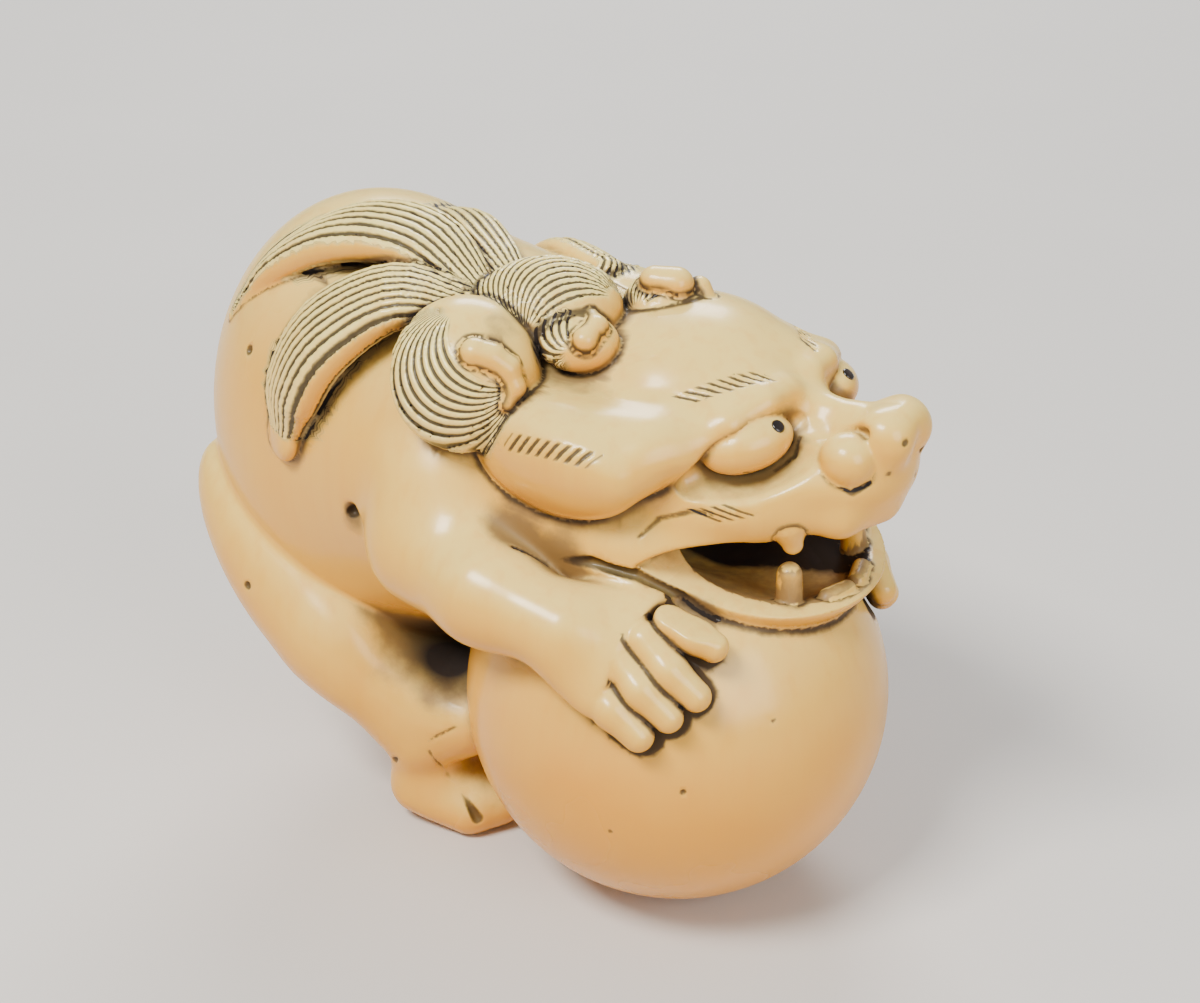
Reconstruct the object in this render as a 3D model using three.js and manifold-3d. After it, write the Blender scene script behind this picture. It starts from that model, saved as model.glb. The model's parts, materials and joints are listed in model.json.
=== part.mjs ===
// Netsuke of a lion-dog resting its head and forepaws on a large ball, carved as one block of ivory
// with two small dark pins for the pupils. Units are millimetres, +Z is up, the lion faces +X and its
// left is +Y. The origin is the middle of the footprint on the table.
import Module from 'manifold-3d';
import * as THREE from 'three';
import { MarchingCubes } from 'three/addons/objects/MarchingCubes.js';
import { mergeVertices } from 'three/addons/utils/BufferGeometryUtils.js';
import { SimplifyModifier } from 'three/addons/modifiers/SimplifyModifier.js';

// ---- driving dimensions ------------------------------------------------------------------------
const BALL_R = 10.5;               // the ball, with a small flat ground at its foot
const BALL_Z = 10.4;               // height of its centre: the flat is sqrt(R^2 - Z^2) = 1.45 mm in radius
const HEAD_Y = 1.8;                // the head's middle plane is y = HEAD_Y + x tan(turn)
const HEAD_TURN = 0.1475;          // radians to the lion's own left
const LEFT_REACH = 0.05;           // radians that the left arm is turned further round the ball
const LEFT_DROP = 0.3;             // and how much lower it lies
const EYE = { f: 4.4, l: 3.8, z: 26.1 };
const PUPIL = { f: 5.55, l: 3.3, z: 26.9, r: 0.32, long: 1.2, room: 0.3 };   // dark pins let into the eyes
const CORNER_F = 1.3;              // where the corner of the mouth is
const RIM = { z: 20.8, dip: 1.2, run: 1.5, slope: 0.2 };    // top edge of the lower jaw, falling forward
const LIP = { rise: 1.2, run: 1.3, cusp: 0.35 };            // upper lip above the corner, with two cusps
const EAR_LEVEL = 24.4;            // the ear stands clear of the neck below this, with a soft joint above
const MOAT = 0.45;                 // the recess cut into the ball round the toes
const MESH_CELLS = 118, MESH_SPAN = 44.25, MESH_MID = [-9.2254, 0.0004, 15.8004];
const TRIANGLES = 9300;
const FOOT_SHIFT = [9.2, -0.09, 0];   // moves the middle of the footprint to the origin

// ---- clay: signed distances in mm, joined and cut with soft edges --------------------------------
function join(a, b, k) {
  const h = Math.max(k - Math.abs(a - b), 0) / k;
  return Math.min(a, b) - h * h * k / 4;
}
const carve = (a, b, k) => -join(-a, b, k);
const clamp = (v) => Math.min(Math.max(v, 0), 1);
const unit = (v) => { const n = Math.hypot(...v); return v.map((c) => c / n); };
const cross = (a, b) => [a[1] * b[2] - a[2] * b[1], a[2] * b[0] - a[0] * b[2], a[0] * b[1] - a[1] * b[0]];
const dot = (a, b) => a[0] * b[0] + a[1] * b[1] + a[2] * b[2];

function egg(c, r, aim = [1, 0, 0], up = [0, 0, 1]) {
  const f = unit(aim), l = unit(cross(up, f)), u = cross(f, l);
  return (x, y, z) => {
    const q = [x - c[0], y - c[1], z - c[2]];
    const a = dot(q, f) / r[0], b = dot(q, l) / r[1], e = dot(q, u) / r[2];
    const k0 = Math.hypot(a, b, e), k1 = Math.hypot(a / r[0], b / r[1], e / r[2]) + 1e-6;
    return k0 * (k0 - 1) / k1;
  };
}

function chain(points, k) {               // rows of [x, y, z, radius]
  return (x, y, z) => {
    let d = 1e3;
    for (let i = 1; i < points.length; i++) {
      const a = points[i - 1], b = points[i];
      const ab = [b[0] - a[0], b[1] - a[1], b[2] - a[2]], q = [x - a[0], y - a[1], z - a[2]];
      const h = clamp(dot(q, ab) / dot(ab, ab));
      const e = Math.hypot(q[0] - h * ab[0], q[1] - h * ab[1], q[2] - h * ab[2]) - (a[3] + (b[3] - a[3]) * h);
      d = i > 1 ? join(d, e, k) : e;
    }
    return d;
  };
}

// A lock of hair: a flattened band along a curve, rows of [x, y, z, half width, half thickness]. Its flat
// side is turned away from the point `core` inside the body.
function strap(rows, core, n = 14) {
  const spots = rows.map((r) => new THREE.Vector3(r[0], r[1], r[2]));
  const curve = new THREE.CatmullRomCurve3(spots, false, 'centripetal');
  const at = (t, j) => {
    const s = t * (rows.length - 1), i = Math.min(Math.floor(s), rows.length - 2);
    return rows[i][j] + (rows[i + 1][j] - rows[i][j]) * (s - i);
  };
  const bits = [];
  for (let i = 0; i < n; i++) {
    const t0 = i / n, t1 = (i + 1) / n;
    const a = curve.getPoint(t0).toArray(), b = curve.getPoint(t1).toArray();
    const tan = unit([b[0] - a[0], b[1] - a[1], b[2] - a[2]]);
    const out = a.map((v, j) => (v + b[j]) / 2 - core[j]), along = dot(out, tan);
    const nrm = unit(out.map((v, j) => v - along * tan[j]));
    bits.push({ a, ab: b.map((v, j) => v - a[j]), tan, nrm, side: cross(tan, nrm),
      w: [at(t0, 3), at(t1, 3)], t: [at(t0, 4), at(t1, 4)] });
  }
  return (x, y, z) => {
    let best = 1e9, d = 1e3;
    for (const s of bits) {
      const q = [x - s.a[0], y - s.a[1], z - s.a[2]], h = clamp(dot(q, s.ab) / dot(s.ab, s.ab));
      const r = [q[0] - h * s.ab[0], q[1] - h * s.ab[1], q[2] - h * s.ab[2]], far = dot(r, r);
      if (far >= best) continue;
      best = far;
      const w = s.w[0] + (s.w[1] - s.w[0]) * h, t = s.t[0] + (s.t[1] - s.t[0]) * h;
      const u = dot(r, s.side) / w, v = dot(r, s.nrm) / t, e = dot(r, s.tan) / w;
      const k0 = Math.hypot(u, v, e), k1 = Math.hypot(u / w, v / t, e / w) + 1e-6;
      d = k0 * (k0 - 1) / k1;
    }
    return d;
  };
}

const mirror = (form) => (x, y, z) => form(x, -y, z);
const melt = (k, ...forms) => (x, y, z) => {
  let d = forms[0](x, y, z);
  for (let i = 1; i < forms.length; i++) d = join(d, forms[i](x, y, z), k);
  return d;
};

// ---- body and limbs (the lion's right side is -Y) ------------------------------------------------
const trunk = melt(3,
  egg([-18.9, -0.7, 19.4], [10.1, 9.2, 12.3], [1, 0, 0.12]),        // rump and loins
  egg([-11.5, -1.0, 21.3], [8.5, 9.2, 9.3]),                         // ribs and withers
  egg([-5, 0, 22.4], [7, 7.3, 6.8]));                                // neck
const neck = chain([[-7, -5, 21.0, 3.3], [0.5, -4, 20.2, 2.7]], 1);
const upperArm = melt(2,
  egg([-8.6, -7.2, 20.6], [4.0, 3.6, 5.0], [1, 0, 0.5]),
  chain([[-8.3, -9.0, 18.9, 2.6], [-3.6, -9.6, 18.6, 2.3], [0.6, -9.0, 18.0, 2.1]], 1.5));
const palm = egg([3.2, -7.9, 17.3], [3.3, 3.3, 1.5], [0.75, -0.25, -0.6], [0.35, -0.65, 0.65]);
const foreleg = melt(1.6, upperArm, palm);
const armpit = chain([[-12.2, -10, 20, 0.3], [-11.3, -10.7, 18.4, 0.3], [-10.2, -10.4, 17, 0.35]], 0.2);
const toes = melt(0.2,
  chain([[2.4, -9.3, 16.6, 0.9], [4.1, -9.5, 15.4, 0.88], [5.4, -9.2, 14.4, 0.75]], 0.4),
  chain([[3.4, -8.5, 17.5, 0.9], [5.0, -8.6, 16.4, 0.85], [6.3, -8.2, 15.3, 0.72]], 0.4),
  chain([[4.2, -7.5, 18.2, 0.9], [5.7, -7.5, 17.2, 0.85], [7.0, -7.1, 16.2, 0.72]], 0.4),
  chain([[4.9, -6.4, 19.0, 0.85], [6.0, -6.1, 18.6, 0.85], [6.8, -5.7, 18.1, 0.72]], 0.4));
const moat = (x, y, z) => Math.max(toes(x, y, z) - MOAT, 4 - x);
const hindLeg = melt(1.6,
  egg([-20.3, -7.4, 12.7], [8.2, 3.3, 3.4], [0.80, -0.08, -0.62], [0.5, -0.1, 0.8]),   // haunch
  chain([[-16.4, -7.0, 10.0, 3.0], [-12.2, -6.0, 5.2, 2.2]], 1),                        // shank
  chain([[-13.0, -6.0, 7.6, 2.0], [-9.8, -5.2, 6.6, 1.9]], 1),                         // inner side
  chain([[-13.6, -3.5, 8.2, 1.7], [-9.2, -3.1, 8.0, 1.7]], 1),                         // web to the ball
  chain([[-12.4, -6.1, 2.0, 1.7], [-9.5, -5.6, 1.2, 1.2]], 1),                          // outer toes
  chain([[-11.4, -4.8, 2.2, 1.7], [-8.6, -3.9, 1.3, 1.1]], 1));                         // inner toes
const reachC = Math.cos(LEFT_REACH), reachS = Math.sin(LEFT_REACH);
const leftArm = (form) => (x, y, z) =>
  form(x * reachC - y * reachS, -(x * reachS + y * reachC), z + LEFT_DROP);

// ---- head, in its own axes: f forward, l sideways (both halves alike), z up ------------------------
const turnC = Math.cos(HEAD_TURN), turnS = Math.sin(HEAD_TURN);
const toHead = (x, y) => [x * turnC + (y - HEAD_Y) * turnS, -x * turnS + (y - HEAD_Y) * turnC];
const fromHead = (f, l) => [f * turnC - l * turnS, HEAD_Y + f * turnS + l * turnC];
const dome = egg([-0.9, 0, 25.3], [6.3, 6.2, 5.2]);
const brow = chain([[0.4, 5.2, 25.1, 1.6], [1.8, 4.8, 25.8, 1.6], [2.8, 3.4, 26.5, 1.6],
  [3.2, 1.8, 26.9, 1.6], [3.2, 0, 26.9, 1.6]], 0.8);
const browEdge = chain([[0.6, 6.5, 24.9, 0.6], [2.2, 6.0, 25.9, 0.7], [3.8, 4.5, 27.1, 0.7],
  [4.6, 2.7, 27.7, 0.7], [4.9, 1.2, 27.9, 0.5]], 0.3);
const underBrow = chain([[3.1, 6.3, 24.9, 0.8], [4.7, 4.7, 25.9, 1.0], [5.4, 3.1, 26.4, 0.8],
  [5.9, 1.7, 26.8, 0.35]], 0.4);
const socket = egg([5.3, 4.7, 25.7], [3.2, 2.0, 1.4], [0.75, -0.75, 0.3]);
const eyeball = egg([EYE.f, EYE.l, EYE.z], [2.2, 1.45, 1.3], [-0.66, 0.8, -0.22]);
const bridge = chain([[5.0, 0, 26.6, 1.0], [8.0, 0, 26.7, 0.75], [10.1, 0, 27.1, 0.95]], 0.5);
const furrow = chain([[5.0, 2.3, 26.3, 0.2], [7.3, 1.75, 26.6, 0.3], [9.3, 1.7, 27.0, 0.2]], 0.2);
const muzzle = melt(1.2,
  egg([5.2, 0, 24.3], [5.0, 4.6, 2.5]),
  egg([3.0, 4.2, 23.3], [4.4, 2.5, 2.2], [1, -0.35, -0.1]),
  egg([8.8, 0, 24.8], [2.0, 2.6, 2.4], [1, 0, -0.25]));
const noseTop = melt(0.6, bridge, egg([9.8, 0.9, 26.6], [1.4, 1.2, 1.4]));
const lipRoll = chain([[6.6, 3.3, 23.1, 1.0], [8.4, 2.2, 22.95, 1.05], [9.2, 0, 22.95, 1.1]], 0.5);
const nostril = egg([8.7, 2.2, 25.8], [1.3, 1.25, 1.25]);
const jowl = egg([-0.4, 4.9, 20.5], [5.2, 3.3, 3.3]);
const skull = (f, l, z) => {
  let d = join(dome(f, l, z), brow(f, l, z), 1.2);
  d = join(d, browEdge(f, l, z), 0.9);
  d = join(d, join(muzzle(f, l, z), noseTop(f, l, z), 0.6), 1.4);
  d = join(d, jowl(f, l, z), 1.2);
  d = join(d, lipRoll(f, l, z), 0.6);
  d = carve(d, socket(f, l, z), 0.4);
  d = carve(d, underBrow(f, l, z), 0.25);
  d = carve(d, furrow(f, l, z), 0.5);
  d = join(d, eyeball(f, l, z), 0.1);
  return join(d, nostril(f, l, z), 0.12);
};
const rimHeight = (f) => {
  const back = Math.max(f - CORNER_F, -1);
  return RIM.z - RIM.dip * (1 - Math.exp(-back / RIM.run)) - RIM.slope * back;
};
const lipHeight = (f) => RIM.z + LIP.rise * (1 - Math.exp(-Math.max(f - CORNER_F, 0) / LIP.run))
  - LIP.cusp * (Math.exp(-(((f - 6.1) / 0.7) ** 2)) + 0.6 * Math.exp(-(((f - 8.6) / 0.8) ** 2)));
const jawDish = egg([2.9, 0, 19.3], [6.6, 6.8, 4.0]);
const jaw = (f, l, z) => Math.max(jawDish(f, l, z), z - rimHeight(f));
const palate = egg([3.3, 0, 19.7], [5.2, 5.2, 1.9], [1, 0, -0.2]);
const throat = egg([1.4, 0, 19.9], [4.2, 4.0, 2.5]);
const mouth = (f, l, z) => {
  const gap = Math.max(rimHeight(f) - z, z - lipHeight(f), CORNER_F - f);
  return join(join(gap, palate(f, l, z), 0.5), throat(f, l, z), 0.5);
};
const teeth = melt(0.1,
  chain([[6.6, 3.2, 18.2, 0.65], [6.5, 3.1, 19.6, 0.6]], 0.3),          // lower fangs
  chain([[6.6, 3.6, 22.4, 0.95], [6.8, 3.5, 21.5, 0.5]], 0.3),         // upper fangs
  chain([[8.2, 0.5, 18.1, 0.45], [7.8, 1.7, 18.1, 0.45]], 0.3));       // front teeth
const ear = melt(2.4,
  egg([-1.9, -7.0, 24.6], [4.4, 1.5, 2.5], [1, 0, 0.10], [0, -0.35, 1]),
  chain([[-3.4, -6.0, 26.2, 1.5], [2.0, -4.8, 26.0, 1.6]], 1));
const farEar = egg([-2.6, 8.6, 23.2], [4.2, 1.4, 2.5], [1, 0.25, 0.10], [0, 0.35, 1]);

// ---- mane: curls on the neck and long locks swept back over the shoulders -------------------------
const CORE = [-13, -1, 18];
const CURLS = [                      // middle, radii, aim, outward
  [[-6.9, -7.4, 28.0], [3.5, 3.7, 2.6], [0.8, 0.6, 0], [0.35, -0.7, 0.6]],
  [[-6.0, -2.7, 30.1], [3.5, 2.6, 2.1], [0.74, 0.67, 0], [0.25, -0.45, 0.85]],
  [[-3.3, -3.6, 29.4], [1.9, 1.5, 1.1], [0.74, 0.67, 0], [0.3, -0.45, 0.84]],
  [[-2.6, 1.7, 29.8], [2.0, 1.8, 1.6], [0.74, 0.67, 0], [0.25, -0.3, 0.9]],
  [[-7.6, 5.6, 26.3], [3.3, 3.2, 2.4], [-0.8, 0.6, 0], [0.1, 0.7, 0.7]],
];
const KNOBS = [                      // which curl, then [across, up, radius] in its own plane: its rolled tip
  [0, [[2.2, -1.7, 0.35], [2.5, -0.9, 0.5], [2.15, -0.15, 0.6], [1.45, 0.25, 0.65], [0.7, 0.4, 0.75]]],
  [2, [[0.6, 1.0, 0.35], [0.85, 0.25, 0.5], [0.3, -0.5, 0.65]]],
  [3, [[-0.5, 0.2, 0.75], [0.5, 0.0, 0.85]]],
  [3, [[1.6, 0.3, 0.6], [1.9, -0.3, 0.6]]],
  [4, [[-2.1, -1.6, 0.35], [-2.3, -0.8, 0.5], [-1.9, -0.1, 0.6], [-1.3, 0.25, 0.65], [-0.6, 0.4, 0.7]]],
];
function knob([middle, radii, aim, up], rows) {
  const f = unit(aim), l = unit(cross(up, f)), u = cross(f, l);
  return rows.map(([a, b, r]) => {
    const lift = radii[2] * Math.sqrt(Math.max(0.05, 1 - (a / radii[0]) ** 2 - (b / radii[1]) ** 2)) - r / 4;
    return [...middle.map((v, i) => v + a * f[i] + b * l[i] + lift * u[i]), r];
  });
}
const locks = [
  [[-8.8, -5.0, 29.8, 1.0, 0.8], [-12, -6.8, 30.2, 2.0, 1.0], [-15.3, -8.4, 27.8, 2.8, 1.2],
    [-16.9, -9.3, 24.9, 2.7, 1.1], [-17.2, -9.8, 22.6, 1.5, 0.6]],
  [[-9, -4.2, 30.3, 1.0, 0.8], [-13.3, -3.6, 31.7, 2.0, 1.0], [-17.8, -4.2, 31.2, 2.4, 1.1],
    [-21.6, -5.6, 28.9, 1.6, 0.9], [-24.0, -6.8, 25.8, 0.4, 0.4]],
  [[-8.6, -2.5, 30.2, 1.0, 0.8], [-11.5, -1.4, 30.7, 1.8, 1.0], [-15.5, 0.6, 30.6, 2.0, 1.0],
    [-19.5, 2.8, 29.2, 1.0, 0.6]],
  [[-9, 5.0, 28.6, 1.2, 0.8], [-12.5, 6.6, 27.6, 2.2, 1.1], [-15.5, 7.9, 25.0, 2.4, 1.1],
    [-17.5, 8.5, 22.0, 1.2, 0.7]],
].map((rows) => strap(rows, CORE));
const tail = [
  [[-26.6, 0.3, 11.5, 0.8, 0.8], [-28.4, 1.4, 16, 1.9, 1.2], [-27.4, 2.6, 21.0, 1.5, 1.0],
    [-24.6, 3.0, 25.2, 0.5, 0.5]],
  [[-26.6, 1.0, 11.5, 0.8, 0.8], [-27.4, 4.2, 15.2, 1.7, 1.1], [-26, 6.6, 19, 1.1, 0.9],
    [-23.6, 7.4, 22, 0.4, 0.4]],
].map((rows) => strap(rows, CORE));

// ---- everything in one block ----------------------------------------------------------------------
const globe = egg([0, 0, BALL_Z], [BALL_R, BALL_R, BALL_R]);
const within = (x, y, z, c, r) => (x - c[0]) ** 2 + (y - c[1]) ** 2 + (z - c[2]) ** 2 < r * r;
const masses = [                     // [form, softness, middle, reach]
  [neck, 1.6, [-2, -4.5, 20.6], 10], [mirror(neck), 1.6, [-2, 4.5, 20.6], 10],
  [hindLeg, 0.35, [-17, -6, 9], 15], [mirror(hindLeg), 0.35, [-17, 6, 9], 15],
];
const arms = [-1, 1].map((side) => {
  const own = side < 0 ? (form) => form : leftArm, shoulder = [-4, side * 8, 19], paw = [5, side * 7.5, 16.6];
  return { foreleg: own(foreleg), armpit: own(armpit), moat: own(moat), toes: own(toes), shoulder, paw,
    pit: [-11.3, side * 10.5, 18.4] };
});
const mane = [
  ...CURLS.map((c) => [egg(...c), 0.25, c[0], 5]),
  ...KNOBS.map(([i, rows]) => [chain(knob(CURLS[i], rows), 0.3), 0.15, CURLS[i][0], 6]),
  ...locks.map((c) => [c, 0.25, [-15, -1, 27], 16]),
  ...tail.map((c) => [c, 0.25, [-26, 3, 17], 12]),
];
function block(x, y, z) {
  const [f, s] = toHead(x, y), l = Math.abs(s);
  const near = (c, r) => within(x, y, z, c, r);
  let d = trunk(x, y, z);
  for (const [form, k, c, r] of masses) if (near(c, r)) d = join(d, form(x, y, z), k);
  const head = near([3, 2, 24], 14);
  if (head) d = join(d, skull(f, l, z), 1.3);
  const earSoft = 0.15 + 1.4 * clamp((z - EAR_LEVEL) / 1.6);
  if (head) d = join(d, Math.min(ear(x, y, z), farEar(x, y, z)), earSoft);
  d = join(d, globe(x, y, z), 0.25);
  for (const arm of arms) {
    if (near(arm.shoulder, 12.5)) d = join(d, arm.foreleg(x, y, z), 0.6);
    if (near(arm.pit, 4)) d = carve(d, arm.armpit(x, y, z), 0.5);
    if (near(arm.paw, 6)) d = join(carve(d, arm.moat(x, y, z), 0.3), arm.toes(x, y, z), 0.1);
  }
  if (head) d = join(carve(join(d, jaw(f, l, z), 0.3), mouth(f, l, z), 0.2), teeth(f, l, z), 0.1);
  for (const [form, k, c, r] of mane) if (near(c, r)) d = join(d, form(x, y, z), k);
  return Math.max(d, -z);
}

// Only the outer skin is kept: a pocket closed in between two forms is solid ivory.
function skin(g) {
  const ix = g.index.array, up = Int32Array.from({ length: g.attributes.position.count }, (_, i) => i);
  const root = (i) => { while (up[i] !== i) i = up[i] = up[up[i]]; return i; };
  for (let t = 0; t < ix.length; t += 3) for (const j of [1, 2]) up[root(ix[t])] = root(ix[t + j]);
  const size = new Map();
  for (let t = 0; t < ix.length; t += 3) size.set(root(ix[t]), (size.get(root(ix[t])) || 0) + 1);
  const main = [...size].sort((a, b) => b[1] - a[1])[0][0];
  const kept = [];
  for (let t = 0; t < ix.length; t += 3) if (root(ix[t]) === main) kept.push(ix[t], ix[t + 1], ix[t + 2]);
  g.setIndex(kept);
  return mergeVertices(g.toNonIndexed(), 1e-3);
}

async function carved() {
  const n = MESH_CELLS, half = MESH_SPAN / 2, cell = MESH_SPAN / n;
  const clay = new MarchingCubes(n, new THREE.MeshStandardMaterial(), false, false, 160000);
  clay.isolation = 0;
  for (let k = 0; k < n; k++) for (let j = 0; j < n; j++) for (let i = 0; i < n; i++) {
    const p = [i, j, k].map((v, a) => (v - n / 2) * cell + MESH_MID[a]);
    const v = -block(...p) / cell;
    clay.field[i + j * n + k * n * n] = Math.abs(v) < 0.12 ? (v < 0 ? -0.12 : 0.12) : v;
  }
  clay.update();
  const pos = clay.positionArray.slice(0, clay.count * 3);
  let g = new THREE.BufferGeometry().setAttribute('position', new THREE.BufferAttribute(pos, 3));
  g.scale(half, half, half).translate(...MESH_MID);
  g = skin(mergeVertices(g, 1e-3));
  const drop = g.attributes.position.count - Math.round(TRIANGLES / 2);
  g = await new SimplifyModifier().modify(g, drop);
  return g;
}

// ---- pupils: a round pin in a blind hole, standing square to the eye --------------------------------
const wasm = await Module();
wasm.setup();

function solid(geometry) {
  const bare = geometry.clone();
  for (const key of ['normal', 'uv']) bare.deleteAttribute(key);
  const g = mergeVertices(bare, 1e-4);
  const vertProperties = new Float32Array(g.attributes.position.array);
  const triVerts = new Uint32Array(g.index.array);
  return new wasm.Manifold(new wasm.Mesh({ numProp: 3, vertProperties, triVerts }));
}

function asGeometry(manifold) {
  const m = manifold.getMesh();
  const g = new THREE.BufferGeometry();
  g.setAttribute('position', new THREE.BufferAttribute(m.vertProperties, 3));
  return g.setIndex([...m.triVerts]);
}

// The spot on the eye, and the way the eye faces there.
function pupilSeat(side) {
  const [x, y] = fromHead(PUPIL.f, side * PUPIL.l), p = new THREE.Vector3(x, y, PUPIL.z), e = 0.15;
  const slope = (q) => new THREE.Vector3(
    block(q.x + e, q.y, q.z) - block(q.x - e, q.y, q.z),
    block(q.x, q.y + e, q.z) - block(q.x, q.y - e, q.z),
    block(q.x, q.y, q.z + e) - block(q.x, q.y, q.z - e)).normalize();
  for (let i = 0; i < 8; i++) p.addScaledVector(slope(p), -block(p.x, p.y, p.z) * 0.8);
  return { p, out: slope(p) };
}

// A round bar of radius r whose outer end stands `proud` above the seat and whose inner end is `deep` below.
function bar({ p, out }, r, proud, deep, sides) {
  const g = new THREE.CylinderGeometry(r, r, proud + deep, sides);
  g.translate(0, (proud - deep) / 2, 0);
  g.applyQuaternion(new THREE.Quaternion().setFromUnitVectors(new THREE.Vector3(0, 1, 0), out));
  return g.translate(p.x, p.y, p.z);
}

const material = (name, color, roughness) =>
  new THREE.MeshStandardMaterial({ name, color, roughness, metalness: 0 });
const lion = new THREE.Group();
let ivory = solid(await carved());
for (const [name, side] of [['pupil_right', -1], ['pupil_left', 1]]) {
  const seat = pupilSeat(side);
  ivory = ivory.subtract(solid(bar(seat, PUPIL.r + PUPIL.room, 2, PUPIL.long + PUPIL.room, 12)));
  const pin = new THREE.Mesh(bar(seat, PUPIL.r, 0.05, PUPIL.long, 12), material('horn', 0x15100e, 0.25));
  pin.name = name;
  lion.add(pin);
}
const body = new THREE.Mesh(asGeometry(ivory), material('ivory', 0xe2c48c, 0.3));
body.name = 'lion_and_ball';
lion.add(body);
for (const piece of lion.children) piece.geometry.translate(...FOOT_SHIFT);
export default lion;
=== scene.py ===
# %% [markdown]
# # A netsuke: a lion-dog resting on its ball
# A netsuke is the toggle that keeps a pouch hanging from a sash. This one is a single piece of ivory, about
# 41 mm long: a lion-dog crouches behind a large ball, lays its forepaws and its chin on it, and its mane runs back
# in curls and long locks. Only the two pupils are let in, as small dark pins.
# The carving has no straight line in it, so it is modelled the way a carver thinks: masses first, then cuts.
# Every mass is a signed distance in millimetres, soft joins melt them together, and one mesh is drawn over the sum.

# %% The frame, and the room the solids take
import json
import math

import bpy
import numpy as np
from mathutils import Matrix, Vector

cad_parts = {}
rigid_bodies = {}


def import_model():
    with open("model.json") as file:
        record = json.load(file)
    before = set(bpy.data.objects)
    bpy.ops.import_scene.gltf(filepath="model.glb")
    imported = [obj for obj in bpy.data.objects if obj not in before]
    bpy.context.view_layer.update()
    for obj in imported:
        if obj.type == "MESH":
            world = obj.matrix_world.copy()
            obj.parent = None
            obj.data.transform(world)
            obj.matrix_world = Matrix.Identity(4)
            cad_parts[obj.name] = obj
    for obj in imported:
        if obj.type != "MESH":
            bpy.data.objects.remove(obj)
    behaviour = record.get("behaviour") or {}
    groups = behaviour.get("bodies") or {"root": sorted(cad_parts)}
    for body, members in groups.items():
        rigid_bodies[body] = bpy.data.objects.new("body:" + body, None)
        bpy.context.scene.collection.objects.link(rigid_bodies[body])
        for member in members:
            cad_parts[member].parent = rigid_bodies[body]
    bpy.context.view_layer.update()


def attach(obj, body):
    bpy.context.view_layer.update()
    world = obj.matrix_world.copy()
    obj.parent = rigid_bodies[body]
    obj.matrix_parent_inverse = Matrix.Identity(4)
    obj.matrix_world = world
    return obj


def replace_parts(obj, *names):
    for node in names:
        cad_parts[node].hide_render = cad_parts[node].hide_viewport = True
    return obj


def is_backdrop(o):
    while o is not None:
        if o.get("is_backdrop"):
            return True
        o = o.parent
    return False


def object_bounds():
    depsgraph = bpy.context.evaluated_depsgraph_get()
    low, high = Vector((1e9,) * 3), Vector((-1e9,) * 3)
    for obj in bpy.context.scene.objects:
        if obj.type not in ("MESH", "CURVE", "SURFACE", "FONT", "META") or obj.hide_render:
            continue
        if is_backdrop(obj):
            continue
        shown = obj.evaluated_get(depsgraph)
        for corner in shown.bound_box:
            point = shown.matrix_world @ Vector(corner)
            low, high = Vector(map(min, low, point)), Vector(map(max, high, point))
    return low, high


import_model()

# %% [markdown]
# ## Sizes
# The sizes are those of the solids, in millimetres, from the spot where the ball stands. The lion faces +X, its
# left is +Y. The whole carving is moved 9.2 mm along X at the end, so that the middle of its footprint is the origin.

# %% Named sizes
SHIFT = (9.20, -0.09, 0.0)
BALL_R, BALL_Z = 10.5, 10.4
HEAD_Y, HEAD_TURN = 1.8, 0.1475  # the head's middle plane, and its turn to the left in radians
PUPIL_F, PUPIL_L, PUPIL_Z, PUPIL_R = 5.55, 3.3, 26.9, 0.33
RIM_Z, RIM_DIP, RIM_RUN, RIM_SLOPE = 20.8, 1.2, 1.5, 0.20  # top edge of the lower jaw, falling forward
CORNER_F, LIP_RISE, LIP_RUN, LIP_CUSP = 1.3, 1.2, 1.3, 0.35  # corner of the mouth and arch of the upper lip
MOAT = 0.45  # the recess cut into the ball round the toes
LEFT_REACH, LEFT_DROP = 0.05, 0.3  # the left arm: further round the ball, in radians, and lower
EAR_LEVEL, EAR_JOINT = 24.4, 1.6  # the ear stands clear of the neck below this, then the joint turns soft
CORE = (-13.0, -1.0, 18.0)  # the flat side of a lock is turned away from this point
CELL = 0.15
print(f"ball {2 * BALL_R} mm across, cells of {CELL} mm")

# %% [markdown]
# ## Clay
# A distance function answers one question for a point: how far is the surface, and on which side of it am I?
# Joining two masses is the smaller of two distances, and blending near the seam gives the soft web that a carver
# leaves. Cutting is the same with a sign turned. The three basic lumps are an egg, a bar that tapers, and a strap.

# %% Joining and cutting
F = np.float32
TINY = 1e-6  # keeps a division away from zero


def vec(*numbers):
    return np.array(numbers, F)


def unit(v):
    v = np.asarray(v, F)
    return v / np.linalg.norm(v)


def join(a, b, soft):
    h = np.maximum(soft - np.abs(a - b), 0) / soft
    return np.minimum(a, b) - h * h * soft * F(0.25)


def cut(a, b, soft):
    return -join(-a, b, soft)


def melt(soft, *lumps):
    d = lumps[0]
    for lump in lumps[1:]:
        d = join(d, lump, soft)
    return d


print(f"where two masses meet, a 1 mm soft join adds {-join(F(0), F(0), F(1)):.2f} mm")

# %% Egg, bar and chain
def egg_frame(aim=(1, 0, 0), up=(0, 0, 1)):
    f = unit(aim)
    side = unit(np.cross(up, f))
    return np.stack([f, side, np.cross(f, side)], 1).astype(F)


def egg(p, centre, radii, aim=(1, 0, 0), up=(0, 0, 1)):
    q = (p - vec(*centre)) @ egg_frame(aim, up)
    r = vec(*radii)
    k0 = np.sqrt(((q / r) ** 2).sum(-1))
    k1 = np.sqrt(((q / r**2) ** 2).sum(-1)) + F(TINY)
    return k0 * (k0 - 1) / k1


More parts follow.
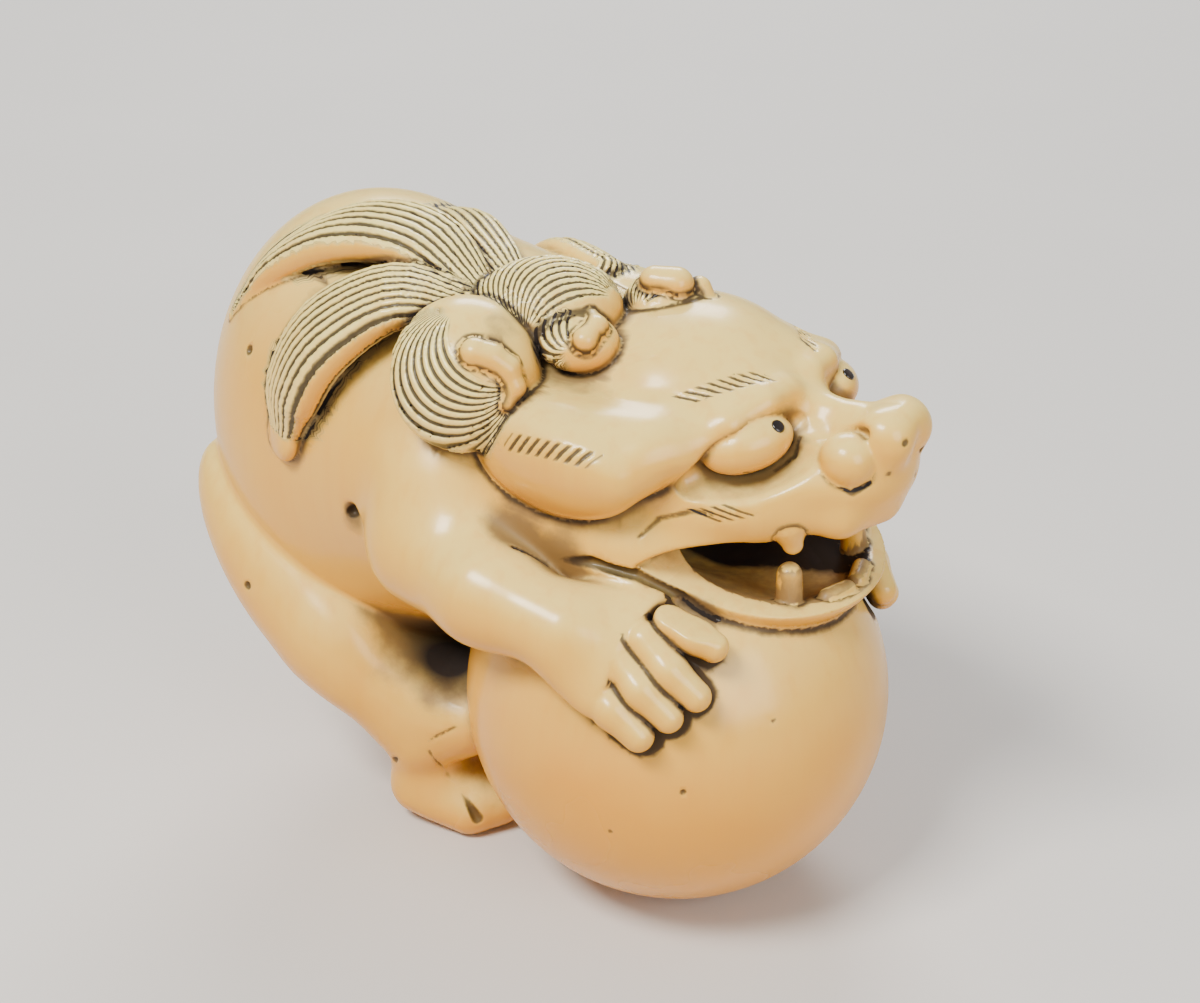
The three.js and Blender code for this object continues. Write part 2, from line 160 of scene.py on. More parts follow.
def bar(p, a, b):
    """a and b are x, y, z and radius"""
    start, run = vec(*a[:3]), vec(*b[:3]) - vec(*a[:3])
    q = p - start
    h = np.clip(q @ run / (run @ run), 0, 1)
    return np.sqrt(((q - h[..., None] * run) ** 2).sum(-1)) - (F(a[3]) + F(b[3] - a[3]) * h)


def chain(p, rows, soft=0.6):
    return melt(soft, *[bar(p, a, b) for a, b in zip(rows[:-1], rows[1:])])


BALL = (0, 0, BALL_Z), (BALL_R,) * 3  # an egg: middle, radii, then the way it points and its upper side
print("a point 1 mm above the ball is", egg(vec(0, 0, BALL_Z + BALL_R + 1), *BALL), "mm away from it")

# %% Spline: a smooth run through rows of numbers
def spline(rows, n):
    rows = np.asarray(rows, float)
    ends = np.vstack([2 * rows[0] - rows[1], rows, 2 * rows[-1] - rows[-2]])
    t = np.linspace(0, len(rows) - 1, n)
    i = np.minimum(t.astype(int), len(rows) - 2)
    u = (t - i)[:, None]
    a, b, c, d = ends[i], ends[i + 1], ends[i + 2], ends[i + 3]
    return 0.5 * (2 * b + (c - a) * u + (2 * a - 5 * b + 4 * c - d) * u**2 + (3 * b - a - 3 * c + d) * u**3)


print("halfway along a run that bends from 0 over 1 to 0:", spline([(0,), (1,), (0,)], 3)[1])

# %% Strap: a flattened band that also knows where it runs
def strap(p, rows, core=CORE, n=20, square=2.4):
    """rows of x, y, z, half width, half thickness -> distance, place across (-1..1), place along (0..1)"""
    s = spline(rows, n)
    mid, wide, thick = s[:, :3], s[:, 3], s[:, 4]
    run = np.gradient(mid, axis=0)
    run /= np.linalg.norm(run, axis=1)[:, None]
    out = mid - np.asarray(core)
    out -= (out * run).sum(1)[:, None] * run
    out /= np.linalg.norm(out, axis=1)[:, None]
    side = np.cross(run, out)
    near = np.full(p.shape[:-1], 1e9, F)
    dist, across, along = np.full_like(near, 1e3), np.zeros_like(near), np.zeros_like(near)
    for i in range(n - 1):
        step = (mid[i + 1] - mid[i]).astype(F)
        q = p - mid[i].astype(F)
        h = np.clip(q @ step / (step @ step), 0, 1)
        r = q - h[..., None] * step
        far = (r * r).sum(-1)
        w = F(wide[i]) + F(wide[i + 1] - wide[i]) * h
        t = F(thick[i]) + F(thick[i + 1] - thick[i]) * h
        u, v = r @ unit(side[i] + side[i + 1]), r @ unit(out[i] + out[i + 1])
        e = r @ unit(run[i] + run[i + 1])
        a, b, c = np.abs(u) / w, np.abs(v) / t, np.abs(e) / w
        k0 = (a**F(square) + b**F(square) + c**F(square)) ** F(1 / square) + F(TINY)
        rate = (a**F(square - 1) / w) ** 2 + (b**F(square - 1) / t) ** 2 + (c**F(square - 1) / w) ** 2
        k1 = k0 ** F(1 - square) * np.sqrt(rate) + F(TINY)
        d = (k0 - 1) / k1
        here = far < near
        near = np.where(here, far, near)
        dist, across = np.where(here, d, dist), np.where(here, u / w, across)
        along = np.where(here, (i + h) / (n - 1), along)
    return dist, across, along


straight = [(x, 0, 30, 2, 1) for x in (-20, -13, -6)]
print("2 mm above a strap's middle line, 1 mm off it:", strap(vec(-13, 0, 32)[None], straight)[0])

# %% Working only where a form is
def within(p, centre, reach):
    return ((p - vec(*centre)) ** 2).sum(-1) < reach * reach


def add(p, d, centre, reach, form, soft, how=join):
    here = within(p, centre, reach)
    if here.any():
        d[here] = how(d[here], form(p[here]), soft)
    return d


print("the ball's top is within 11 mm of its middle:", within(vec(0, 0, BALL_Z + BALL_R), BALL[0], 11))

# %% [markdown]
# ## Body and limbs
# Three eggs make the back: rump, ribs and nape. A bar on each side leads the neck into the head. The forelegs reach
# round the ball, and each paw lies flat on it, so the palm is a low egg tilted with the ball and the toes are short
# chains down its face. Behind, the haunch is a long egg leaning forward, with shank and foot under it. The lion's
# left side is the mirror of the right, except that its left arm reaches a little further round the ball.

# %% Body forms
RUMP = (-18.9, -0.7, 19.4), (10.1, 9.2, 12.3), (1, 0, 0.12)
RIBS = (-11.5, -1.0, 21.3), (8.5, 9.2, 9.3)
NAPE = (-5, 0, 22.4), (7, 7.3, 6.8)
NECK = (-7.0, -5.0, 21.0, 3.3), (0.5, -4.0, 20.2, 2.7)


def trunk(p):
    return melt(3, egg(p, *RUMP), egg(p, *RIBS), egg(p, *NAPE))


def neck(p):
    return bar(p, *NECK)


print("height of the rump's top:", RUMP[0][2] + RUMP[1][2], "mm")

# %% Forelegs
ARM = [(-8.3, -9.0, 18.9, 2.6), (-3.6, -9.6, 18.6, 2.3), (0.6, -9.0, 18.0, 2.1)]
SHOULDER = (-8.6, -7.2, 20.6), (4.0, 3.6, 5.0), (1, 0, 0.5)
PALM = (3.2, -7.9, 17.3), (3.3, 3.3, 1.5), (0.75, -0.25, -0.6), (0.35, -0.65, 0.65)
ARMPIT = [(-12.2, -10.0, 20.0, 0.3), (-11.3, -10.7, 18.4, 0.3), (-10.2, -10.4, 17.0, 0.35)]
MOAT_FROM = 4.0  # the recess starts in front of this x, clear of the palm
TOES = [
    [(2.4, -9.3, 16.6, 0.9), (4.1, -9.5, 15.4, 0.88), (5.4, -9.2, 14.4, 0.75)],
    [(3.4, -8.5, 17.5, 0.9), (5.0, -8.6, 16.4, 0.85), (6.3, -8.2, 15.3, 0.72)],
    [(4.2, -7.5, 18.2, 0.9), (5.7, -7.5, 17.2, 0.85), (7.0, -7.1, 16.2, 0.72)],
    [(4.9, -6.4, 19.0, 0.85), (6.0, -6.1, 18.6, 0.85), (6.8, -5.7, 18.1, 0.72)],
]


def foreleg(p):
    return join(join(chain(p, ARM, 1.5), egg(p, *SHOULDER), 2), egg(p, *PALM), 1.6)


def armpit(p):
    return chain(p, ARMPIT, 0.2)


def each_toe(p):
    return [chain(p, rows, 0.4) for rows in TOES]


def toes(p):
    return melt(0.2, *each_toe(p))


def moat(p, turned):
    return np.maximum(toes(turned(p)) - F(MOAT), F(MOAT_FROM) - p[..., 0])


def left_arm(p):
    """the left arm is the mirror of the right one, turned further round the ball"""
    c, s = F(math.cos(LEFT_REACH)), F(math.sin(LEFT_REACH))
    x, y = p[..., 0], p[..., 1]
    return np.stack([x * c - y * s, -(x * s + y * c), p[..., 2] + F(LEFT_DROP)], -1)


print("a paw has", len(TOES), "toes, about", 2 * TOES[0][1][3], "mm thick")

# %% Hind legs
HAUNCH = (-20.3, -7.4, 12.7), (8.2, 3.3, 3.4), (0.80, -0.08, -0.62), (0.5, -0.1, 0.8)
HIND_BARS = [
    [(-16.4, -7.0, 10.0, 3.0), (-12.2, -6.0, 5.2, 2.2)],  # shank
    [(-13.0, -6.0, 7.6, 2.0), (-9.8, -5.2, 6.6, 1.9)],  # inner side
    [(-13.6, -3.5, 8.2, 1.7), (-9.2, -3.1, 8.0, 1.7)],  # web to the ball
    [(-12.4, -6.1, 2.0, 1.7), (-9.5, -5.6, 1.2, 1.2)],  # outer toes
    [(-11.4, -4.8, 2.2, 1.7), (-8.6, -3.9, 1.3, 1.1)],  # inner toes
]


def hind_leg(p):
    return melt(1.6, egg(p, *HAUNCH), *[bar(p, *ends) for ends in HIND_BARS])


print("a hind leg is one egg and", len(HIND_BARS), "bars")

# %% [markdown]
# ## Head
# The head is worked in its own axes, f forward and l sideways with both halves alike, because a carver keeps a face
# even however the head is turned. A ridge of brow overhangs almond eyes, the muzzle ends in a blunt upturned nose
# with rolled nostrils, and the lower jaw is a thin dish on the ball, hollowed right through to the throat.

# %% The head's own axes
def head_axes(p):
    c, s = F(math.cos(HEAD_TURN)), F(math.sin(HEAD_TURN))
    x, y = p[..., 0], p[..., 1] - F(HEAD_Y)
    return np.stack([x * c + y * s, np.abs(y * c - x * s), p[..., 2]], -1)


print("10 mm forward of the origin is, in head axes,", head_axes(vec(10, 0, 0)))

# %% Skull, brows, eyes and nose
DOME = (-0.9, 0, 25.3), (6.3, 6.2, 5.2)
MUZZLE = [
    ((5.2, 0, 24.3), (5.0, 4.6, 2.5)),
    ((3.0, 4.2, 23.3), (4.4, 2.5, 2.2), (1, -0.35, -0.1)),
    ((8.8, 0, 24.8), (2.0, 2.6, 2.4), (1, 0, -0.25)),
]
NOSE_TIP = (9.8, 0.9, 26.6), (1.4, 1.2, 1.4)
JOWL = (-0.4, 4.9, 20.5), (5.2, 3.3, 3.3)
SOCKET = (5.3, 4.7, 25.7), (3.2, 2.0, 1.4), (0.75, -0.75, 0.3)
EYEBALL = (4.4, 3.8, 26.1), (2.2, 1.45, 1.3), (-0.66, 0.8, -0.22)
NOSTRIL = (8.7, 2.2, 25.8), (1.3, 1.25, 1.25)
BROW = [(0.4, 5.2, 25.1, 1.6), (1.8, 4.8, 25.8, 1.6), (2.8, 3.4, 26.5, 1.6), (3.2, 1.8, 26.9, 1.6),
        (3.2, 0, 26.9, 1.6)]
BROW_EDGE = [(0.6, 6.5, 24.9, 0.6), (2.2, 6.0, 25.9, 0.7), (3.8, 4.5, 27.1, 0.7), (4.6, 2.7, 27.7, 0.7),
             (4.9, 1.2, 27.9, 0.5)]
UNDER_BROW = [(3.1, 6.3, 24.9, 0.8), (4.7, 4.7, 25.9, 1.0), (5.4, 3.1, 26.4, 0.8), (5.9, 1.7, 26.8, 0.35)]
BRIDGE = [(5.0, 0, 26.6, 1.0), (8.0, 0, 26.7, 0.75), (10.1, 0, 27.1, 0.95)]
LIP_ROLL = [(6.6, 3.3, 23.1, 1.0), (8.4, 2.2, 22.95, 1.05), (9.2, 0, 22.95, 1.1)]
FURROW = [(5.0, 2.3, 26.3, 0.2), (7.3, 1.75, 26.6, 0.3), (9.3, 1.7, 27.0, 0.2)]


def skull(q):
    d = join(egg(q, *DOME), chain(q, BROW, 0.8), 1.2)
    d = join(d, chain(q, BROW_EDGE, 0.3), 0.9)
    muzzle = melt(1.2, *[egg(q, *lump) for lump in MUZZLE])
    muzzle = join(muzzle, melt(0.6, chain(q, BRIDGE, 0.5), egg(q, *NOSE_TIP)), 0.6)
    d = join(join(d, muzzle, 1.4), egg(q, *JOWL), 1.2)
    d = join(d, chain(q, LIP_ROLL, 0.5), 0.6)
    d = cut(d, egg(q, *SOCKET), 0.4)
    d = cut(d, chain(q, UNDER_BROW, 0.4), 0.25)
    d = cut(d, chain(q, FURROW, 0.2), 0.5)
    return join(join(d, egg(q, *EYEBALL), 0.1), egg(q, *NOSTRIL), 0.12)


print("between the eyeballs' middles:", 2 * EYEBALL[0][1], "mm")

# %% Jaw, mouth and teeth
JAW_DISH = (2.9, 0, 19.3), (6.6, 6.8, 4.0)
PALATE = (3.3, 0, 19.7), (5.2, 5.2, 1.9), (1, 0, -0.2)
THROAT = (1.4, 0, 19.9), (4.2, 4.0, 2.5)
CUSPS = [(6.1, 0.7, 1.0), (8.6, 0.8, 0.6)]  # where the upper lip hangs down: place, half width, share
TEETH = [
    [(6.6, 3.2, 18.2, 0.65), (6.5, 3.1, 19.6, 0.6)],  # lower fangs
    [(6.6, 3.6, 22.4, 0.95), (6.8, 3.5, 21.5, 0.5)],  # upper fangs
    [(8.2, 0.5, 18.1, 0.45), (7.8, 1.7, 18.1, 0.45)],  # front teeth
]


def rim(q):
    back = np.maximum(q[..., 0] - F(CORNER_F), -1)
    return F(RIM_Z) - F(RIM_DIP) * (1 - np.exp(-back / F(RIM_RUN))) - F(RIM_SLOPE) * back


def jaw(q):
    return np.maximum(egg(q, *JAW_DISH), q[..., 2] - rim(q))


def hollow(q):
    return melt(0.5, egg(q, *PALATE), egg(q, *THROAT))


def mouth(q):
    f, z = q[..., 0], q[..., 2]
    lip = F(RIM_Z) + F(LIP_RISE) * (1 - np.exp(-np.maximum(f - F(CORNER_F), 0) / F(LIP_RUN)))
    lip = lip - F(LIP_CUSP) * sum(F(share) * np.exp(-((f - F(at)) / F(wide)) ** 2) for at, wide, share in CUSPS)
    gap = np.maximum(np.maximum(rim(q) - z, z - lip), F(CORNER_F) - f)
    return join(gap, hollow(q), 0.5)


def teeth(q):
    return np.min([chain(q, rows, 0.3) for rows in TEETH], 0)


print("the jaw's edge at the corner of the mouth:", round(float(rim(vec(CORNER_F, 0, 0))), 2), "mm high")

# %% Ears
EAR_RIGHT = (-1.9, -7.0, 24.6), (4.4, 1.5, 2.5), (1, 0, 0.10), (0, -0.35, 1)
EAR_LEFT = (-2.6, 8.6, 23.2), (4.2, 1.4, 2.5), (1, 0.25, 0.10), (0, 0.35, 1)
EAR_ROOT = (-3.4, -6.0, 26.2, 1.5), (2.0, -4.8, 26.0, 1.6)


def ears(p):
    right = join(egg(p, *EAR_RIGHT), bar(p, *EAR_ROOT), 2.4)
    return np.minimum(right, egg(p, *EAR_LEFT))


def ear_softness(p):
    return F(0.15) + F(1.4) * np.clip((p[..., 2] - F(EAR_LEVEL)) / F(EAR_JOINT), 0, 1)


print("the right ear is", 2 * EAR_RIGHT[1][0], "mm long")

# %% [markdown]
# ## Mane
# The mane is the richest cutting. Curls sit on the neck like snail shells, and long locks sweep back over the
# shoulders. A curl is an egg, a lock a strap. Each also has a strand number, which rises by one from hair to hair:
# on a curl the hairs are arcs that all run through the two ends of a parting line, across a lock the number counts
# from edge to edge. The knife cut between two hairs lies where the number is whole, so the same value cuts the mesh
# and stains the groove later on.

# %% Locks and the tail: number of hairs, then a middle line with half width and half thickness
HAIR_EDGE = 0.94  # the cuts stop here, just short of the side walls at 1
LOCKS = [
    (9, [(-8.8, -5.0, 29.8, 1.0, 0.8), (-12, -6.8, 30.2, 2.0, 1.0), (-15.3, -8.4, 27.8, 2.8, 1.2),
         (-16.9, -9.3, 24.9, 2.7, 1.1), (-17.2, -9.8, 22.6, 1.5, 0.6)]),
    (8, [(-9, -4.2, 30.3, 1.0, 0.8), (-13.3, -3.6, 31.7, 2.0, 1.0), (-17.8, -4.2, 31.2, 2.4, 1.1),
         (-21.6, -5.6, 28.9, 1.6, 0.9), (-24.0, -6.8, 25.8, 0.4, 0.4)]),
    (8, [(-8.6, -2.5, 30.2, 1.0, 0.8), (-11.5, -1.4, 30.7, 1.8, 1.0), (-15.5, 0.6, 30.6, 2.0, 1.0),
         (-19.5, 2.8, 29.2, 1.0, 0.6)]),
    (8, [(-9, 5.0, 28.6, 1.2, 0.8), (-12.5, 6.6, 27.6, 2.2, 1.1), (-15.5, 7.9, 25.0, 2.4, 1.1),
         (-17.5, 8.5, 22.0, 1.2, 0.7)]),
    (6, [(-26.6, 0.3, 11.5, 0.8, 0.8), (-28.4, 1.4, 16, 1.9, 1.2), (-27.4, 2.6, 21, 1.5, 1.0),
         (-24.6, 3.0, 25.2, 0.5, 0.5)]),
    (5, [(-26.6, 1.0, 11.5, 0.8, 0.8), (-27.4, 4.2, 15.2, 1.7, 1.1), (-26, 6.6, 19, 1.1, 0.9),
         (-23.6, 7.4, 22, 0.4, 0.4)]),
]


def centre_of(rows):
    return tuple(np.mean([r[:3] for r in rows], 0))


def reach_of(rows):
    mid = np.mean([r[:3] for r in rows], 0)
    return max(np.linalg.norm(np.array(r[:3]) - mid) + r[3] for r in rows) + 1.0


print("hairs on each lock:", *[hairs for hairs, rows in LOCKS])

# %% Curls: an egg, the ends of its parting line, the gap from hair to hair, and the bulge of the first arc
ARC_FADE, ARC_LAST, ARC_END = 0.2, 9.0, 1.5  # bulges over which the first and the last arcs fade
END_BARE, END_FADE, SIDE_FADE, CURL_LOW = 0.35, 0.3, 0.3, -0.6  # bare round the ends, behind the line, low down
CURLS = [
    (((-6.9, -7.4, 28.0), (3.5, 3.7, 2.6), (0.8, 0.6, 0), (0.35, -0.7, 0.6)),
     ((-0.4, 2.5), (2.5, -0.9)), 0.42, 1.3),
    (((-6.0, -2.7, 30.1), (3.5, 2.6, 2.1), (0.74, 0.67, 0), (0.25, -0.45, 0.85)),
     ((3.2, -0.2), (-1.0, -2.35)), 0.38, 0.12),
    (((-3.3, -3.6, 29.4), (1.9, 1.5, 1.1), (0.74, 0.67, 0), (0.3, -0.45, 0.84)),
     ((-0.1, 1.5), (-0.2, -1.0)), 0.36, 0.1),
    (((-2.6, 1.7, 29.8), (2.0, 1.8, 1.6), (0.74, 0.67, 0), (0.25, -0.3, 0.9)),
     ((1.5, -0.8), (-1.3, -1.2)), 0.4, 0.2),
    (((-7.6, 5.6, 26.3), (3.3, 3.2, 2.4), (-0.8, 0.6, 0), (0.1, 0.7, 0.7)),
     ((-2.2, -0.8), (0.3, 2.3)), 0.42, 1.2),
]
KNOBS = [  # which curl, then places in its own plane with radii: the smooth tips that the curls roll up to
    (0, [(2.2, -1.7, 0.35), (2.5, -0.9, 0.5), (2.15, -0.15, 0.6), (1.45, 0.25, 0.65), (0.7, 0.4, 0.75)]),
    (2, [(0.6, 1.0, 0.35), (0.85, 0.25, 0.5), (0.3, -0.5, 0.65)]),
    (3, [(-0.5, 0.2, 0.75), (0.5, 0.0, 0.85)]),
    (3, [(1.6, 0.3, 0.6), (1.9, -0.3, 0.6)]),
    (4, [(-2.1, -1.6, 0.35), (-2.3, -0.8, 0.5), (-1.9, -0.1, 0.6), (-1.3, 0.25, 0.65), (-0.6, 0.4, 0.7)]),
]
print(len(CURLS), "curls and", len(KNOBS), "rolled tips")

# %% Strand numbers and knife cuts
CUT_DEPTH, CUT_SHARP = 0.20, 0.17  # depth in mm, half width as a share of a hair


def groove(strand):
    off = np.abs(strand - np.round(strand))
    return np.exp(-((off / F(CUT_SHARP)) ** 2))


def curl_hair(p, curl):
    """the strand number on a curl and how far there is hair: arcs through both ends of the parting line"""
    (centre, _, aim, up), parting, gap, bare = curl
    q = (p - vec(*centre)) @ egg_frame(aim, up)
    root, tip = (np.array(end, F) for end in parting)
    ax, ay = root[0] - q[..., 0], root[1] - q[..., 1]
    bx, by = tip[0] - q[..., 0], tip[1] - q[..., 1]
    turn = ay * bx - ax * by
    ends = np.sqrt((ax * ax + ay * ay) * (bx * bx + by * by))
    bulge = F(np.linalg.norm(tip - root) / 2) * (ends + ax * bx + ay * by) / np.maximum(np.abs(turn), F(1e-3))
    covered = np.clip((bulge - F(bare)) / F(ARC_FADE), 0, 1) * np.clip(turn / F(SIDE_FADE), 0, 1)
    near_end = np.sqrt(np.minimum(ax * ax + ay * ay, bx * bx + by * by))
    covered = covered * np.clip((near_end - F(END_BARE)) / F(END_FADE), 0, 1)
    covered = covered * np.clip((F(ARC_LAST) - bulge) / F(ARC_END), 0, 1)
    return bulge / F(gap), covered * (q[..., 2] > F(CURL_LOW))


def carved_curl(p, curl):
    number, covered = curl_hair(p, curl)
    return egg(p, *curl[0]) + F(CUT_DEPTH) * (groove(number) * covered)


def carved_lock(p, hairs, rows):
    e, across, along = strap(p, rows)
    return e + F(CUT_DEPTH) * groove(across * F(hairs / 2)) * (along < 1) * (np.abs(across) < HAIR_EDGE)


def knob(curl, rows):
    """places in a curl's plane, lifted onto its dome"""
    (centre, radii, aim, up), lifted = curl[0], []
    for a, b, r in rows:
        lift = radii[2] * math.sqrt(max(0.05, 1 - (a / radii[0]) ** 2 - (b / radii[1]) ** 2)) - 0.25 * r
        lifted.append((*(np.array(centre) + egg_frame(aim, up) @ np.array([a, b, lift])), r))
    return lifted


TIPS = [knob(CURLS[number], rows) for number, rows in KNOBS]
print("the first curl's tip starts at", [round(float(v), 1) for v in TIPS[0][0][:3]])

# %% [markdown]
# ## Small cuts
# A carver finishes with the knife point: rows of short nicks on the brows, the ear and the cheek, a line under each
# eye and nostril, a deep line where the arm meets the jaw, and a few pits that are old pores of the tusk. A row of
# nicks is set out on its own little plane: one coordinate counts the nicks, the other runs along them.

# %% Nicks
NICK_DEPTH, NICK_FADE, NICK_NEAR = 0.10, 0.15, 1.5  # in mm: depth, shallower end, how near its plane it cuts
NICKS = [  # head axes?, middle, along a nick, outward, spacing, how many, half length, stagger, strength
    (True, (3.0, 3.5, 28.4), (0.93, -0.28, -0.22), (0.35, 0.35, 0.87), 0.33, 8, 0.62, -0.40, 1.0),
    (True, (4.6, 6.2, 23.6), (0.80, -0.49, -0.32), (0.45, 0.85, 0.10), 0.26, 4, 0.80, -0.45, 0.9),
    (True, (-1.6, 4.2, 29.4), (0.83, -0.55, 0.00), (-0.10, 0.45, 0.90), 0.34, 5, 1.1, 0.20, 0.35),
    (False, (-0.8, -8.4, 26.5), (-0.42, -0.71, -0.57), (0.10, -0.80, 0.60), 0.43, 9, 0.50, -0.30, 1.0),
]


def nick_place(p, q, row):
    """number of the nick, distance past its end (negative inside), and height off its plane"""
    on_head, middle, along, out, space, many, half, stagger = row[:-1]
    n = unit(out)
    t = unit(np.array(along) - n * np.dot(n, along))
    r = (q if on_head else p) - vec(*middle)
    u = r @ np.cross(n, t) / F(space)
    v = np.abs(r @ t - F(stagger) * u) - F(half)
    return u, np.maximum(v, (np.abs(u) - F(many / 2)) * F(space)), r @ n


print(sum(row[5] for row in NICKS), "nicks in", len(NICKS), "rows, those on the head on both halves")

# %% Lines and pits
LINE_SOFT = 0.05
FACE_LINES = [  # under the eye, under the nostril, across the cheek: places in head axes, half width of the cut
    [(4.9, 4.8, 25.2, 0.03), (5.6, 3.3, 24.9, 0.07), (6.2, 2.5, 25.4, 0.06), (6.1, 1.9, 26.1, 0.03)],
    [(8.8, 3.3, 24.9, 0.04), (9.4, 2.9, 24.6, 0.12), (9.9, 2.3, 25.0, 0.08)],
    [(1.2, 7.8, 22.1, 0.04), (1.9, 7.2, 23.0, 0.08), (3.4, 6.7, 23.6, 0.07), (4.2, 6.4, 23.5, 0.03)],
]
ARM_LINE = [  # between the arm and the jaw
    (-2.7, -8.8, 20.9, 0.10), (-1.6, -7.7, 20.1, 0.22), (0.5, -6.9, 20.6, 0.25), (2.7, -6.1, 20.4, 0.25),
    (4.1, -4.8, 19.3, 0.22), (5.6, -4.0, 18.3, 0.12),
]
FOOT_LINES = [  # on the hind foot: up across the ankle, and down to the cleft between the toes
    [(-12.5, -8.0, 4.2, 0.14), (-11.9, -7.95, 4.9, 0.03), (-9.9, -7.3, 6.6, 0.02), (-9.0, -6.8, 7.3, 0.01)],
    [(-10.3, -7.5, 5.6, 0.01), (-10.1, -6.4, 3.6, 0.04), (-9.0, -6.2, 2.4, 0.10), (-8.3, -6.1, 1.5, 0.26)],
]
PITS = [  # on body and ball first, then on the nose
    (-21.1, -8.6, 25.3, 0.20), (-20.1, -10.7, 13.0, 0.18), (-12.4, -9.9, 19.8, 0.30), (6.9, -7.8, 11.3, 0.08),
    (9.0, -3.9, 14.2, 0.06), (4.0, -9.6, 8.6, 0.06),
    (11.1, 2.1, 26.9, 0.10), (10.7, 4.1, 25.7, 0.12), (10.6, 1.7, 25.3, 0.08), (10.5, 3.9, 24.4, 0.10),
    (11.0, 3.2, 26.2, 0.07), (10.2, 2.4, 23.9, 0.06),
]


def face_lines(p, q):
    return np.min([chain(q, rows, LINE_SOFT) for rows in FACE_LINES] + [chain(p, ARM_LINE, LINE_SOFT)], 0)


def foot_lines(p):
    return np.min([chain(p, rows, LINE_SOFT) for rows in FOOT_LINES], 0)


def pits(p):
    return np.min([bar(p, place, (*np.add(place[:3], 0.05), place[3])) for place in PITS], 0)


def small_cuts(p, d):
    q = head_axes(p)
    for row in NICKS:
        u, past, high = nick_place(p, q, row)
        cuts = F(NICK_DEPTH * row[-1]) * groove(u + F(0.5))
        d = d + cuts * np.clip(-past / F(NICK_FADE), 0, 1) * (np.abs(high) < NICK_NEAR)
    return cut(d, face_lines(p, q), 0.12)


print(len(FACE_LINES) + len(FOOT_LINES) + 1, "lines and", len(PITS), "pits")

# %% [markdown]
# ## The whole carving
# Order matters as it does at the bench. The masses come first, and the ball is joined to them with a hard seam. The
# forelegs are laid on it, with a recess cut round the toes, and the mouth is hollowed out of head, jaw and ball
# together. Then the mane is laid on, and the small cuts come last.

# %% One distance for everything: each form is worked out only within its reach of a middle
HEAD_ROOM, CUTS_ROOM, FOOT_ROOM = ((3, 2, 24), 14), ((4, 0, 24), 13), ((-10, -7, 4), 5)
FLIP = vec(1, -1, 1)


def body(p):
    d = trunk(p)
    for side, turned in ((1, lambda p: p), (-1, lambda p: p * FLIP)):
        d = add(p, d, (-2, -4.5 * side, 20.6), 10, lambda p: neck(turned(p)), 1.6)
        d = add(p, d, (-17, -6 * side, 9), 15, lambda p: hind_leg(turned(p)), 0.35)
    return d


def lay_forelegs(p, d):
    for side, turned in ((1, lambda p: p), (-1, left_arm)):
        paw = (5, -7.5 * side, 16.6)
        d = add(p, d, (-4, -8 * side, 19), 12.5, lambda p: foreleg(turned(p)), 0.6)
        d = add(p, d, (-11.3, -10.5 * side, 18.4), 4, lambda p: armpit(turned(p)), 0.5, cut)
        d = add(p, d, paw, 6, lambda p: moat(p, turned), 0.3, cut)
        d = add(p, d, paw, 6, lambda p: toes(turned(p)), 0.08)
    return d


def lay_mane(p, d):
    for curl in CURLS:
        d = add(p, d, curl[0][0], max(curl[0][1]) + 1.0, lambda p: carved_curl(p, curl), 0.25)
    for tip in TIPS:
        d = add(p, d, tip[0][:3], 6, lambda p: chain(p, tip, 0.3), 0.08)
    for hairs, rows in LOCKS:
        d = add(p, d, centre_of(rows), reach_of(rows), lambda p: carved_lock(p, hairs, rows), 0.25)
    return d


def carving(p):
    d = body(p)
    here = within(p, *HEAD_ROOM)
    q = head_axes(p[here])
    d[here] = join(d[here], skull(q), 1.3)
    d[here] = join(d[here], ears(p[here]), ear_softness(p[here]))
    d = join(d, egg(p, *BALL), 0.25)
    d = lay_forelegs(p, d)
    d[here] = join(cut(join(d[here], jaw(q), 0.3), mouth(q), 0.2), teeth(q), 0.1)
    d = lay_mane(p, d)
    near = within(p, *CUTS_ROOM)
    d[near] = small_cuts(p[near], d[near])
    d = cut(d, pits(p), 0.05)
    d = add(p, d, *FOOT_ROOM, foot_lines, 0.15, cut)
    return np.maximum(d, -p[..., 2])


probe = carving(np.array([[0, 0, 10], [0, 0, 40], [-18, 0, 20]], F))
print("inside the ball, above it, inside the body:", [round(float(v), 2) for v in probe])

# %% [markdown]
# ## From distances to a mesh
# A mesh over a distance field is drawn with surface nets: the space is cut into small cells, every cell that the
# surface passes through gets one point at the middle of its crossings, and four such points round a crossed edge
# make a face. The fine cells are only worked out near the surface, which a coarse grid finds first. Each point is
# then slid along the slope onto the true surface, which brings the knife cuts back to full depth.

# %% A coarse look, then fine values near the surface
BLOCK = 4  # fine cells along the side of a coarse one
NEAR = 0.62  # share of a coarse cell's diagonal within which the surface may still pass through it
BATCH = 4000  # coarse cells worked out at a time, to save memory
LOW, HIGH = np.array([-31.2, -13.6, -0.6]), np.array([12.6, 13.6, 33.6])  # room round the carving
CORNERS = [(i, j, k) for i in (0, 1) for j in (0, 1) for k in (0, 1)]


